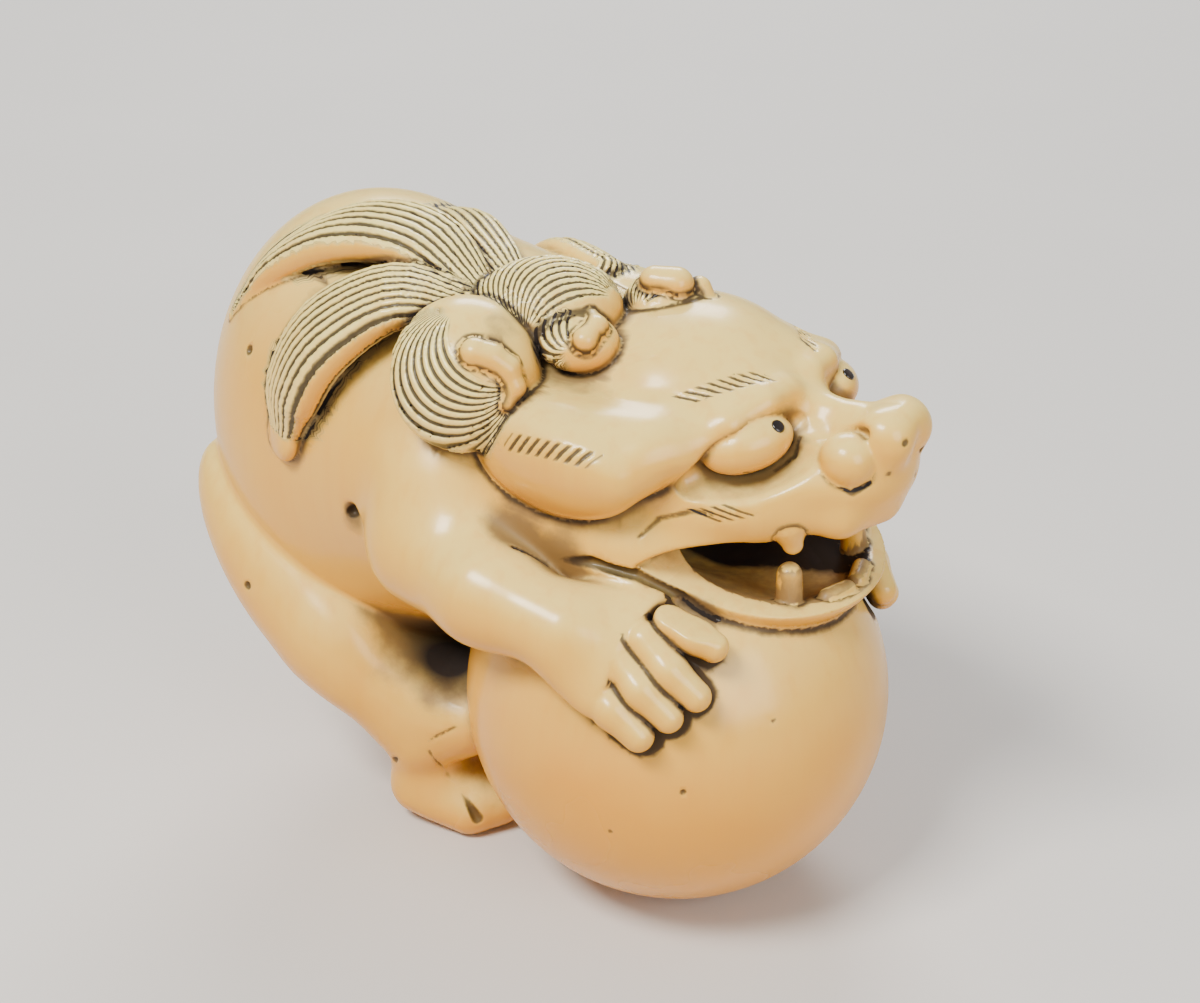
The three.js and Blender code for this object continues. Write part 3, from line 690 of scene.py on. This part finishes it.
def fill(form, cell):
    blocks = np.ceil((HIGH - LOW) / (cell * BLOCK)).astype(int)
    axes = [LOW[i] + cell * np.arange(blocks[i] * BLOCK + 1) for i in range(3)]
    rough = np.stack(np.meshgrid(*[a[::BLOCK] for a in axes], indexing="ij"), -1).astype(F)
    rough = form(rough.reshape(-1, 3)).reshape(rough.shape[:3])
    corners = [rough[i:i + blocks[0], j:j + blocks[1], k:k + blocks[2]] for i, j, k in CORNERS]
    close = np.min(np.abs(corners), 0) < NEAR * BLOCK * cell * math.sqrt(3)
    close |= (np.min(corners, 0) < 0) & (np.max(corners, 0) > 0)
    field = np.repeat(np.repeat(np.repeat(rough, BLOCK, 0), BLOCK, 1), BLOCK, 2)
    field = field[tuple(slice(0, len(a)) for a in axes)]
    inner = np.stack(np.meshgrid(*[np.arange(BLOCK)] * 3, indexing="ij"), -1).reshape(-1, 3)
    spots = np.argwhere(close)
    for part in np.array_split(spots, max(1, len(spots) // BATCH)):
        nodes = (part[:, None] * BLOCK + inner).reshape(-1, 3)
        points = np.stack([axes[i][nodes[:, i]] for i in range(3)], -1).astype(F)
        field[tuple(nodes.T)] = form(points)
    return field, rough


field, rough = fill(carving, CELL)
print("fine grid", field.shape, "coarse grid", rough.shape)

# %% Surface nets: one point in each crossed cell
def net_points(field, cell):
    inside = field < 0
    total = sum(inside[i:i - 1 or None, j:j - 1 or None, k:k - 1 or None].astype(np.int8) for i, j, k in CORNERS)
    crossed = (total > 0) & (total < 8)
    number = np.full(crossed.shape, -1, np.int32)
    cells = np.argwhere(crossed)
    number[crossed] = np.arange(len(cells))
    place, count = np.zeros((len(cells), 3)), np.zeros(len(cells))
    for a in range(3):
        b, c = (a + 1) % 3, (a + 2) % 3
        for i, j in ((0, 0), (0, 1), (1, 0), (1, 1)):
            start = cells.copy()
            start[:, b] += i
            start[:, c] += j
            end = start.copy()
            end[:, a] += 1
            v0, v1 = field[tuple(start.T)], field[tuple(end.T)]
            hit = (v0 < 0) != (v1 < 0)
            t = np.where(hit, v0 / np.where(hit, v0 - v1, 1), 0)
            place += hit[:, None] * (start + t[:, None] * np.eye(3)[a])
            count += hit
    return LOW + cell * place / count[:, None], number


points, number = net_points(field, CELL)
print(len(points), "points")

# %% Surface nets: one face round each crossed edge
def net_faces(field, number):
    inside, faces = field < 0, []
    for a in range(3):
        b, c = (a + 1) % 3, (a + 2) % 3
        first = [slice(None)] * 3
        first[a] = slice(0, -1)
        last = [slice(None)] * 3
        last[a] = slice(1, None)
        here, there = inside[tuple(first)], inside[tuple(last)]
        edges = np.argwhere(here != there)
        edges = edges[(edges[:, b] > 0) & (edges[:, c] > 0)]
        out = here[tuple(edges.T)]
        ring = []
        for db, dc in ((0, 0), (-1, 0), (-1, -1), (0, -1)):
            around = edges.copy()
            around[:, b] += db
            around[:, c] += dc
            ring.append(number[tuple(around.T)])
        quad = np.stack(ring, 1)
        faces.append(np.where(out[:, None], quad, quad[:, ::-1]))
    return np.concatenate(faces)


def largest(points, faces):
    """keeps the outer skin and drops pockets closed in under the hair"""
    label = np.arange(len(points))
    while True:
        low = label[faces].min(1)
        new = label.copy()
        for i in range(4):
            np.minimum.at(new, faces[:, i], low)
        new = new[new]
        if (new == label).all():
            break
        label = new
    main = np.bincount(label).argmax()
    keep = label == main
    renumber = np.cumsum(keep) - 1
    return points[keep], renumber[faces[keep[faces[:, 0]]]]


points, faces = largest(points, net_faces(field, number))
print(len(faces), "faces on the outer skin")

# %% Slide onto the surface
STEP, FLATTEST = 0.05, 0.3  # mm to the side where the slope is measured, and the least squared slope trusted
SLIDE = 0.6  # share of a cell that a point may move


def slope(form, p):
    d = form(p)
    g = np.stack([form(p + vec(*(STEP * np.eye(3)[i]))) - d for i in range(3)], -1) / F(STEP)
    return d, g


def settle(form, points, limit):
    p = points.astype(F)
    d, g = slope(form, p)
    move = -d[:, None] * g / np.maximum((g * g).sum(-1), F(FLATTEST))[:, None]
    long = np.linalg.norm(move, axis=1)
    return p + move * np.minimum(1, limit / np.maximum(long, TINY))[:, None]


points = settle(carving, points, SLIDE * CELL)
print(len(points), "points from", points.min(0).round(1), "to", points.max(0).round(1))

# %% [markdown]
# ## Lighter where it is smooth
# The ball and the back need few faces, the hair needs many. The Decimate modifier takes edges out where that changes
# the form least, which leaves the fine faces to the mane and the face, and keeps the piece under 200,000 triangles.

# %% Build and lighten the mesh
MOST = 196000
MM = 0.001  # the clay is in millimetres, Blender in metres


def clay_mesh(points, faces):
    mesh = bpy.data.meshes.new("clay")
    mesh.vertices.add(len(points))
    mesh.vertices.foreach_set("co", (points * MM).astype(np.float32).ravel())
    mesh.loops.add(faces.size)
    mesh.loops.foreach_set("vertex_index", faces.astype(np.int32).ravel())
    mesh.polygons.add(len(faces))
    mesh.polygons.foreach_set("loop_start", np.arange(0, faces.size, faces.shape[1], dtype=np.int32))
    mesh.update()
    mesh.validate()
    return mesh


def placed(name, data):
    obj = bpy.data.objects.new(name, data)
    bpy.context.scene.collection.objects.link(obj)
    return obj


def lighten(mesh, most):
    obj = placed("clay", mesh)
    mod = obj.modifiers.new("fewer", "DECIMATE")
    mod.ratio = min(1, most / (2 * len(mesh.polygons)))
    mod.use_collapse_triangulate = True
    light = bpy.data.meshes.new_from_object(obj.evaluated_get(bpy.context.evaluated_depsgraph_get()))
    bpy.data.objects.remove(obj)
    return light


carved = lighten(clay_mesh(points, faces), MOST)
carved.name = "lion_and_ball_carved"
print(len(carved.polygons), "triangles after lightening")

# %% [markdown]
# ## What the surface remembers
# The finish differs from place to place: dirt and brown stain stay in every cut, shade is painted in brown and black
# where a spot is closed in, creased or deep in the mouth, the ball has a warmer honey tone, the raised hairs are pale
# with handling, and faces turned up are painted paler as if lit from above. The material needs numbers for that. They
# are worked out at each point of the mesh and stored as attributes: the strand number and how much hair there is, the
# same for the nicks, the distance to the nearest line or pit, how closed in a spot is, how much it lies in a crease
# or in the seam round a form, where stain has gathered, which way it faces, and whether it is on the ball or in
# painted shade.

# %% Closed places, from the coarse grid: far from the surface there, a spot in the open is
FEELERS = (0.8, 1.6, 3.2)  # mm out from the surface


def sample(rough, p):
    x = (p - LOW) / (CELL * BLOCK)
    x = np.clip(x, 0, np.array(rough.shape) - 1.001)
    i = x.astype(int)
    t = x - i
    value = 0
    for a, b, c in CORNERS:
        w = abs(1 - a - t[:, 0]) * abs(1 - b - t[:, 1]) * abs(1 - c - t[:, 2])
        value = value + w * rough[i[:, 0] + a, i[:, 1] + b, i[:, 2] + c]
    return value


def read(kind):
    values = np.empty(3 * len(carved.vertices), np.float32)
    carved.vertices.foreach_get(kind, values)
    return values.reshape(-1, 3)


co, normal = read("co") * 1000, read("normal")
# closed: how shut in a spot is; the ivory finish paints shade brown where this is high
closed = sum(np.clip(1 - sample(rough, co + s * normal) / s, 0, 2) for s in FEELERS) / 3
print(f"{(closed > 0.5).mean():.0%} of the points lie in closed places")

# %% Round patches of painted shade and of stain: middle and radius
HOLLOWS = [(-11.2, -4.9, 9.9, 2.0), (-9.6, -3.6, 11.5, 2.6), (-12.6, -3.2, 12.0, 2.4)]  # behind the ball, no light
SMUDGES = [(-12.6, -6.3, 10.4, 2.6), (-10.6, -6.6, 8.6, 1.4), (-3.4, -7.6, 21.2, 1.5), (-1.0, -7.4, 21.0, 1.2),
           (-12.5, -9.8, 19.3, 0.9), (5.0, -4.6, 18.6, 0.8), (-5.4, -6.6, 30.6, 1.0), (5.6, 4.6, 25.9, 0.9)]


def shade(p, spots):
    """1 within half the radius, 0 from one and a half radii on"""
    far = [np.linalg.norm(p - vec(*spot[:3]), axis=1) / spot[3] for spot in spots]
    return np.max([np.clip(1.5 - d, 0, 1) for d in far], 0)


print(len(HOLLOWS), "dark patches and", len(SMUDGES), "stained ones")

# %% Seams: a narrow strip of dirt just outside a form that was laid on or cut round
SEAM_FROM, SEAM_RISE, SEAM_FULL = 0.03, 0.06, 0.08  # mm off the form: start, length of the rise, start of the fall
RECESS_WIDE, BY_BALL = 0.42, 0.9  # dirt round the toes: past the recess by this much, and this near to the ball
CLEFT_FROM, CLEFT_DEEP, CLEFT_WIDE = 3.4, 0.3, 0.25  # clefts between the toes: from this x on, depth, width


def rise(value, start, run):
    """0 up to start, then up to 1 over the length run"""
    return np.clip((value - F(start)) / F(run), 0, 1)


def lock_strap(p, rows):
    """where a lock can reach, and its strap there"""
    near = within(p, centre_of(rows), reach_of(rows))
    return near, *strap(p[near], rows)


def seam_marks(p, q, ball):
    seam = np.zeros(len(p), F)

    def trace(e, wide, share=1.0):
        strip = rise(e, SEAM_FROM, SEAM_RISE) * np.clip(1 - (e - F(SEAM_FULL)) / F(wide), 0, 1)
        np.maximum(seam, strip * share, out=seam)

    trace(ears(p), 0.5, np.clip(EAR_LEVEL + 1 - p[:, 2], 0, 1))
    trace(egg(q, *EYEBALL), 0.8, 0.6)
    trace(egg(q, *NOSTRIL), 0.5, 0.7 * np.clip((NOSTRIL[0][2] + 0.1 - q[:, 2]) / 0.6, 0, 1))
    trace(teeth(q), 0.4, 0.9)
    trace(egg(q, *JAW_DISH), 0.7, ball)
    by_ball = (np.abs(egg(p, *BALL)) < BY_BALL) * F(1)
    for turned in (p, left_arm(p)):
        trace(foreleg(turned), 0.35, ball * 0.9)
        nearest, second = np.sort(each_toe(turned), 0)[:2]
        recess = rise(nearest, 0.05, 0.08) * np.clip((F(MOAT + RECESS_WIDE) - nearest) / F(0.15), 0, 1)
        np.maximum(seam, recess * by_ball, out=seam)
        cleft = np.clip(1.3 - (second - nearest) / F(CLEFT_WIDE), 0, 1) * (np.abs(nearest) < CLEFT_DEEP)
        np.maximum(seam, cleft * (turned[:, 0] > CLEFT_FROM), out=seam)
    for curl in CURLS:
        trace(egg(p, *curl[0]), 0.4)
    for tip in TIPS:
        trace(chain(p, tip, 0.3), 0.3)
    for hairs, rows in LOCKS:
        near, e = lock_strap(p, rows)[:2]
        whole = np.full(len(p), 9, F)
        whole[near] = e
        trace(whole, 0.35, 0.8)
    return seam


q = head_axes(co)
on_ball = np.clip(1.2 - np.abs(egg(co, *BALL)) / 0.25, 0, 1)
seam = seam_marks(co, q, on_ball)
print(f"{(on_ball > 0).mean():.0%} of the points are on the ball, {(seam > 0.3).mean():.0%} in a seam")

# %% Hair: the strand number, and how much a point belongs to hair
HAIR_SKIN, HAIR_FADE = 0.45, 0.2  # mm off the egg or strap: where the hair ends, and how softly


def on_skin(e):
    return np.clip((HAIR_SKIN - np.abs(e)) / HAIR_FADE, 0, 1)


def hair_marks(p):
    strand, hair = np.zeros(len(p), F), np.zeros(len(p), F)
    for curl in CURLS:
        number, covered = curl_hair(p, curl)
        here = on_skin(egg(p, *curl[0])) * np.maximum(covered, 0.01)
        better = here > hair
        strand[better], hair[better] = number[better], here[better]
    for hairs, rows in LOCKS:
        near, e, across, along = lock_strap(p, rows)
        here = on_skin(e) * (along < 1) * (np.abs(across) < HAIR_EDGE)
        better = np.zeros(len(p), bool)
        better[near] = here > hair[near]
        pick = better[near]
        strand[better], hair[better] = across[pick] * hairs / 2, here[pick]
    tips = np.min([chain(p, tip, 0.3) for tip in TIPS], 0)
    return strand, hair * np.clip((tips - 0.05) / 0.1, 0, 1)


strand, hair = hair_marks(co)
print(f"{(hair > 0.5).mean():.0%} of the points are hair")

# %% Painted shade inside the mouth: all of its roof, and the floor past a slanting line
WALL = 0.25  # a point this near to the hollow's own surface is on its wall
FLOOR_TOP, ROOF_FROM, ROOF_FADE = 19.6, 20.2, 0.6  # heights
DARK_SIDE, DARK_FROM, DARK_SLANT, DARK_FADE = -0.8, 1.9, 0.44, 0.5  # where that line runs, in head axes
FLOOR_STAINED, STAIN_SHARE = 20, 0.75  # height of the stained floor, strength of all stains

side = (co[:, 1] - F(HEAD_Y)) * F(math.cos(HEAD_TURN)) - co[:, 0] * F(math.sin(HEAD_TURN))
wall = np.abs(hollow(q)) < WALL
past_line = (side - DARK_SIDE - DARK_SLANT * np.maximum(q[:, 0] - DARK_FROM, 0)) / DARK_FADE
painted_shade_floor = np.clip(past_line + 0.5, 0, 1) * (q[:, 2] < FLOOR_TOP)
painted_shade_roof = np.clip((q[:, 2] - ROOF_FROM) / ROOF_FADE, 0, 1) * (normal[:, 2] < 0)
# painted shade: black on the mouth's roof and back floor and in the patches behind the ball, where no light reaches
painted_shade = np.maximum(np.maximum(painted_shade_floor, painted_shade_roof) * wall, shade(co, HOLLOWS)) * (teeth(q) > 0.1)
stained = STAIN_SHARE * np.maximum(shade(co, SMUDGES), wall * (q[:, 2] < FLOOR_STAINED))
print(f"{(painted_shade > 0.5).mean():.1%} of the points are in the dark, {(stained > 0.3).mean():.1%} are stained")

# %% Creases, nicks and lines
CREASE_FEELER, NICK_BLUR = 0.28, 0.3  # mm out from the surface, mm past the end of a nick
# crease: how deep a spot lies in a crease; the ivory finish paints shade there in brown and black, along with dirt
crease = np.clip(1 - carving(co + F(CREASE_FEELER) * normal) / F(CREASE_FEELER), 0, 1.5)
nick, nicked = np.zeros(len(co), F), np.zeros(len(co), F)
for row in NICKS:
    u, past, high = nick_place(co, q, row)
    here = (past < NICK_BLUR) & (np.abs(high) < NICK_NEAR)
    nick[here], nicked[here] = u[here] + 0.5, np.clip(0.5 - past[here] / NICK_BLUR, 0, 1) * row[-1]
lines = np.clip(np.min([face_lines(co, q), foot_lines(co), pits(co)], 0), -0.2, 1)
print(f"{(lines < 0.05).mean():.1%} of the points are in a line or pit")

# %% Store the values on the mesh, and put the piece in place of the solid
# mouth holds painted shade, black inside the mouth and behind the ball; closed and crease also carry painted shade
MARKS = dict(strand=strand, hair=hair, closed=closed, crease=crease, mouth=painted_shade, ball=on_ball, nick=nick,
             nicked=nicked, lines=lines, seam=seam, stained=stained, facing_up=normal[:, 2])
for name, values in MARKS.items():
    layer = carved.attributes.new(name, "FLOAT", "POINT")
    layer.data.foreach_set("value", np.ascontiguousarray(values, np.float32))
    print(f"{name}: {values.min():.2f} to {values.max():.2f}")
carved.vertices.foreach_set("co", ((co + np.array(SHIFT, np.float32)) * MM).ravel())
carved.polygons.foreach_set("use_smooth", np.ones(len(carved.polygons), bool))
carved.update()
lion = placed("lion_and_ball_carved", carved)
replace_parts(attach(lion, "root"), "lion_and_ball")

# %% [markdown]
# ## Writing shaders as sums
# A finish is mostly arithmetic on masks. Wrapping a node socket in a small class lets that arithmetic be written
# as Python, and each operator adds its own Math node. Colours are blended with Mix nodes, since Math would turn
# them grey.

# %% A socket that can be added and multiplied
class Value:
    def __init__(self, tree, socket):
        self.tree, self.socket = tree, socket

    def math(self, operation, *others, clamp=False):
        sockets = [o.socket if isinstance(o, Value) else o for o in others]
        settings = {"operation": operation, "use_clamp": clamp}
        return self.tree.node("ShaderNodeMath", settings, dict(enumerate([self.socket, *sockets])))

    def __add__(self, other):
        return self.math("ADD", other)

    __radd__ = __add__

    def __mul__(self, other):
        return self.math("MULTIPLY", other)

    __rmul__ = __mul__

    def __sub__(self, other):
        return self.math("SUBTRACT", other)

    def __rsub__(self, other):
        return (self * -1) + other

    def clamped(self):
        return self.math("ADD", 0.0, clamp=True)

    def ramp(self, low, high):
        """0 below low, 1 above high, smooth between"""
        values = {"Value": self.socket, "From Min": low, "From Max": high}
        return self.tree.node("ShaderNodeMapRange", {"interpolation_type": "SMOOTHSTEP"}, values)


class Finish:
    def __init__(self, name):
        self.material = bpy.data.materials.new(name)
        self.material.use_nodes = True
        self.nodes, self.links = self.material.node_tree.nodes, self.material.node_tree.links
        self.shader = self.nodes["Principled BSDF"]

    def node(self, kind, settings=None, values=None, out=0):
        made = self.nodes.new(kind)
        for key, value in (settings or {}).items():
            setattr(made, key, value)
        for key, value in (values or {}).items():
            self.put(made.inputs[key], value)
        return Value(self, made.outputs[out])

    def put(self, socket, value):
        if isinstance(value, Value):
            value = value.socket
        if isinstance(value, bpy.types.NodeSocket):
            self.links.new(value, socket)
        else:
            socket.default_value = value

    def mark(self, name):
        return self.node("ShaderNodeAttribute", {"attribute_name": name}, out="Fac")

    def noise(self, scale, detail, rough=0.5, at=None):
        at = at or self.node("ShaderNodeTexCoord", out="Object")
        values = {"Vector": at, "Scale": scale, "Detail": detail, "Roughness": rough}
        return self.node("ShaderNodeTexNoise", {}, values)

    def blend(self, share, a, b):
        """a and b are colours or blends; 6, 7 and 2 are the Mix node's colour sockets"""
        a, b = ((*c, 1.0) if isinstance(c, tuple) else c for c in (a, b))
        return self.node("ShaderNodeMix", {"data_type": "RGBA"}, {0: share, 6: a, 7: b}, out=2)

    def set(self, **values):
        for key, value in values.items():
            self.put(self.shader.inputs[key], value)


plain = Finish("plain_floor")
grey = plain.blend(plain.noise(40, 2), (0.62, 0.60, 0.57), (0.66, 0.64, 0.61))
plain.set(**{"Base Color": grey, "Roughness": 0.9})
print("the floor's finish takes", len(plain.nodes), "nodes")

# %% [markdown]
# ## Old ivory
# Ivory yellows with handling and age. It is creamy on the back, honey on the ball, nearly white on the raised hairs,
# and it keeps brown stain and black dirt in the cuts. Under the polish there are faint straight growth lines. Light
# and shade are painted into the colour as well: paler on faces turned up, honey on faces turned down, brown where a
# spot is closed in or creased, and black in deep creases and inside the mouth. The colour is therefore laid in that
# order: tone with its painted light and shade, growth lines, stain and painted shade from the closed and creased
# masks, and the dark knife cuts from the strand number along with the painted shade of the mouth. The polish is a low
# roughness that the stain and the painted shade dull.

# %% Noises and marks
# the honey is also painted shade on faces turned down, the pale also painted light on faces turned up; umber and soot
# are stain and dirt and also painted shade in closed places, creases and the mouth
CREAM, HONEY_AND_PAINTED_SHADE, PALE_WEAR_AND_PAINTED_LIGHT = (0.84, 0.49, 0.07), (0.78, 0.33, 0.02), (0.93, 0.76, 0.26)
UMBER_STAIN_AND_PAINTED_SHADE, SOOT_AND_PAINTED_SHADE = (0.15, 0.085, 0.035), (0.012, 0.006, 0.003)

ivory = Finish("old_ivory")
place = ivory.node("ShaderNodeTexCoord", out="Object")
broad, fine = ivory.noise(75, 3, 0.55, place), ivory.noise(1100, 4, 0.6, place)
blotch, speck = broad - 0.5, fine - 0.5  # noises run from 0 to 1, these round 0
tusk = {"Vector": place, "Rotation": (0.2, 0.35, 0.1), "Scale": (1, 1, 0.06)}  # long along the tusk
growth = ivory.noise(1500, 2, 0.5, ivory.node("ShaderNodeMapping", {}, tusk))
mark = {name: ivory.mark(name) for name in MARKS}
print("marks on the mesh:", *mark)

# %% Clean tone: honey on the ball and painted shade in honey low down, pale on hair and painted light in pale on top, faint growth lines
# low: painted shade, more honey the more a face turns down, plus honey in random blotches and on the ball
low = (0.45 - mark["facing_up"] * 0.75 + broad.ramp(0.38, 0.72) * 0.4 + mark["ball"] * 0.3).clamped()
# high: painted light, paler the more a face turns up, plus the pale of worn hairs
high = (mark["facing_up"].ramp(0.1, 1.0) * 0.6 + mark["hair"] * 0.6).clamped()
tone = ivory.blend(high, ivory.blend(low, CREAM, HONEY_AND_PAINTED_SHADE), PALE_WEAR_AND_PAINTED_LIGHT)
tone = ivory.blend(growth.ramp(0.45, 0.75) * 0.18, tone, HONEY_AND_PAINTED_SHADE)
print("clean tone after", len(ivory.nodes), "nodes")

# %% Cuts: 1 in the groove, 0 beside it, with edges that the fine noise makes uneven
hair_off = (mark["strand"] + speck * 0.16).math("PINGPONG", 0.5)  # 0 on a whole number, 0.5 between two
hair_cut = (1 - hair_off.ramp(0.13, 0.27)) * mark["hair"]
nick_off = (mark["nick"] + speck * 0.2).math("PINGPONG", 0.5)
nick_cut = (1 - nick_off.ramp(0.14, 0.28)) * mark["nicked"].ramp(0.3, 0.6) * mark["nicked"].ramp(0.0, 1.0)
line_cut = 1 - (mark["lines"] + speck * 0.12).ramp(0.0, 0.12)
print("cuts after", len(ivory.nodes), "nodes")

# %% Brown stain and painted shade, black dirt and painted shade, polish and the fine relief of the cuts
# brown: stain from smudges and seams, and painted shade where a spot is closed in or creased
stain_and_painted_shade = (mark["closed"] + mark["crease"] * 0.8 + mark["stained"] * 1.3 + mark["seam"] * 0.9 + speck * 0.7
         + blotch * 0.5 - 0.5).ramp(0.0, 1.0)
seam_dirt = (mark["seam"] + speck * 0.5).ramp(0.35, 0.85)
# black: dirt in cuts, lines and seams, and painted shade in deep creases and inside the mouth
dirt_and_painted_shade = (mark["crease"].ramp(0.6, 1.25) * 0.7 + seam_dirt * 0.8 + hair_cut * 0.93 + nick_cut * 0.9
        + line_cut * 0.85 + mark["mouth"] * 1.1).clamped()
tone = ivory.blend(dirt_and_painted_shade, ivory.blend(stain_and_painted_shade * 0.85, tone, UMBER_STAIN_AND_PAINTED_SHADE), SOOT_AND_PAINTED_SHADE)
ivory.set(**{"Base Color": tone, "Roughness": (0.2 + broad * 0.12 + stain_and_painted_shade * 0.3 + dirt_and_painted_shade * 0.35).clamped(),
             "Specular IOR Level": 0.35, "IOR": 1.54, "Coat Weight": 0.1, "Coat Roughness": 0.08,
             "Subsurface Weight": 0.08, "Subsurface Radius": (1.0, 0.55, 0.3), "Subsurface Scale": 0.0007})
height = (1 - hair_cut) + growth * 0.1 + fine * 0.12 - nick_cut
ivory.set(Normal=ivory.node("ShaderNodeBump", {}, {"Strength": 0.3, "Distance": 0.00008, "Height": height}))
carved.materials.append(ivory.material)
print("ivory uses", len(ivory.nodes), "nodes")

# %% [markdown]
# ## Pupils
# Each pupil is a short pin of dark horn, pushed into a drilled hole and polished level with the eye. The visible one
# takes the place of the pin in the solids: set on the named spot of the eye and turned to the surface there, a domed
# disc with a rounded edge.

# %% Horn
horn = Finish("dark_horn")
horn_noise = horn.noise(1500, 2)
horn.set(**{"Base Color": horn.blend(horn_noise.ramp(0.4, 0.8), (0.010, 0.008, 0.007), (0.035, 0.022, 0.015)),
            "Roughness": 0.12 + horn_noise * 0.12, "Coat Weight": 0.3})
print("horn takes", len(horn.nodes), "nodes")

# %% Where a pin stands on the eye, and the way it points
def pupil_seat(side):
    c, s = math.cos(HEAD_TURN), math.sin(HEAD_TURN)
    f, l = PUPIL_F, side * PUPIL_L
    p = np.array([[f * c - l * s, HEAD_Y + f * s + l * c, PUPIL_Z]], F)
    for _ in range(6):
        d, g = slope(carving, p)
        p = p - d[:, None] * g / (g * g).sum()
    return Vector(p[0].tolist()) + Vector(SHIFT), Vector((g[0] / np.linalg.norm(g)).tolist())


print("the right pin stands at", pupil_seat(-1)[0])

# %% Pins: a turned profile with a domed end
PIN_FOOT, PIN_TOP, PIN_SIDES = -0.9, 0.08, 40
PIN_PROFILE = [(1, PIN_FOOT), (1, -0.02), (0.93, 0.03), (0.75, 0.055), (0.4, 0.075)]  # share of the radius, height


def pupil(side):
    seat, way = pupil_seat(side)
    turn = way.to_track_quat("Z", "Y")
    angles = [2 * math.pi * k / PIN_SIDES for k in range(PIN_SIDES)]
    verts = [Vector((share * PUPIL_R * math.cos(a), share * PUPIL_R * math.sin(a), z))
             for share, z in PIN_PROFILE for a in angles]
    verts += [Vector((0, 0, PIN_FOOT)), Vector((0, 0, PIN_TOP))]
    last, low, top = len(verts) - 2 - PIN_SIDES, len(verts) - 2, len(verts) - 1
    around = [(k, (k + 1) % PIN_SIDES) for k in range(PIN_SIDES)]
    rings = [(j + a, j + b, j + b + PIN_SIDES, j + a + PIN_SIDES)
             for j in range(0, last, PIN_SIDES) for a, b in around]
    rings += [(low, b, a) for a, b in around]
    rings += [(last + a, last + b, top) for a, b in around]
    mesh = bpy.data.meshes.new("pupil")
    mesh.from_pydata([(turn @ v + seat) * MM for v in verts], [], rings)
    mesh.polygons.foreach_set("use_smooth", [True] * len(mesh.polygons))
    mesh.materials.append(horn.material)
    return mesh


for name, side in (("pupil_right", -1), ("pupil_left", 1)):
    pin = placed(name + "_pin", pupil(side))
    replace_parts(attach(pin, "root"), name)
    print(name, [round(1000 * v, 2) for v in pin.matrix_world @ pin.data.vertices[-1].co])

# %% [markdown]
# ## Light and camera
# A small glossy thing mirrors its lamps, so they are large soft panels. The camera stands about 11 cm away, as for a
# close-up.

# %% Floor
floor_mesh = bpy.data.meshes.new("floor")
floor_mesh.from_pydata([(-1, -1, 0), (1, -1, 0), (1, 1, 0), (-1, 1, 0)], [], [(0, 1, 2, 3)])
floor = placed("floor", floor_mesh)
floor_mesh.materials.append(plain.material)
floor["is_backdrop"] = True
print("floor", floor.name)

# %% Lamps
AIM = (0.0, 0.0, 0.016)


def lamp(name, place, size, power, colour=(1, 1, 1)):
    data = bpy.data.lights.new(name, "AREA")
    data.shape, data.size, data.size_y = "RECTANGLE", size[0], size[1]
    data.energy, data.color = power, colour
    obj = placed(name, data)
    obj.location = place
    obj.rotation_euler = (Vector(AIM) - Vector(place)).to_track_quat("-Z", "Y").to_euler()


lamp("key", (0.00, -0.19, 0.27), (0.12, 0.08), 1.5, (1.0, 0.96, 0.9))
lamp("fill", (0.26, -0.05, 0.14), (0.16, 0.16), 0.5, (0.97, 0.98, 1.0))
lamp("back", (-0.16, 0.20, 0.22), (0.16, 0.10), 0.9)
world = bpy.data.worlds.new("studio")
world.use_nodes = True
sky = world.node_tree.nodes["Background"].inputs
sky["Color"].default_value, sky["Strength"].default_value = (0.85, 0.88, 0.92, 1), 0.38
bpy.context.scene.world = world
print("lamps", *[lit.name for lit in bpy.data.lights])

# %% Camera
AZIMUTH, ELEVATION, DISTANCE = math.radians(42), math.radians(28), 0.11425
LOOK_AT = (-0.0057, 0.00056, 0.0186)  # from the ball's foot, in metres

camera = placed("camera", bpy.data.cameras.new("camera"))
camera.data.sensor_width, camera.data.lens = 36.0, 68.55
camera.data.clip_start, camera.data.clip_end = 0.005, 5.0
level = math.cos(ELEVATION)
toward = Vector((-math.sin(AZIMUTH) * level, math.cos(AZIMUTH) * level, -math.sin(ELEVATION)))
camera.location = Vector(LOOK_AT) + Vector(SHIFT) * MM - toward * DISTANCE
camera.rotation_euler = toward.to_track_quat("-Z", "Y").to_euler()
bpy.context.scene.camera = camera
print("camera at", camera.location)

# %% The size of the finished piece
low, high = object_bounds()
print("visual box mm", [round(1000 * v, 1) for v in (*low, *high)])
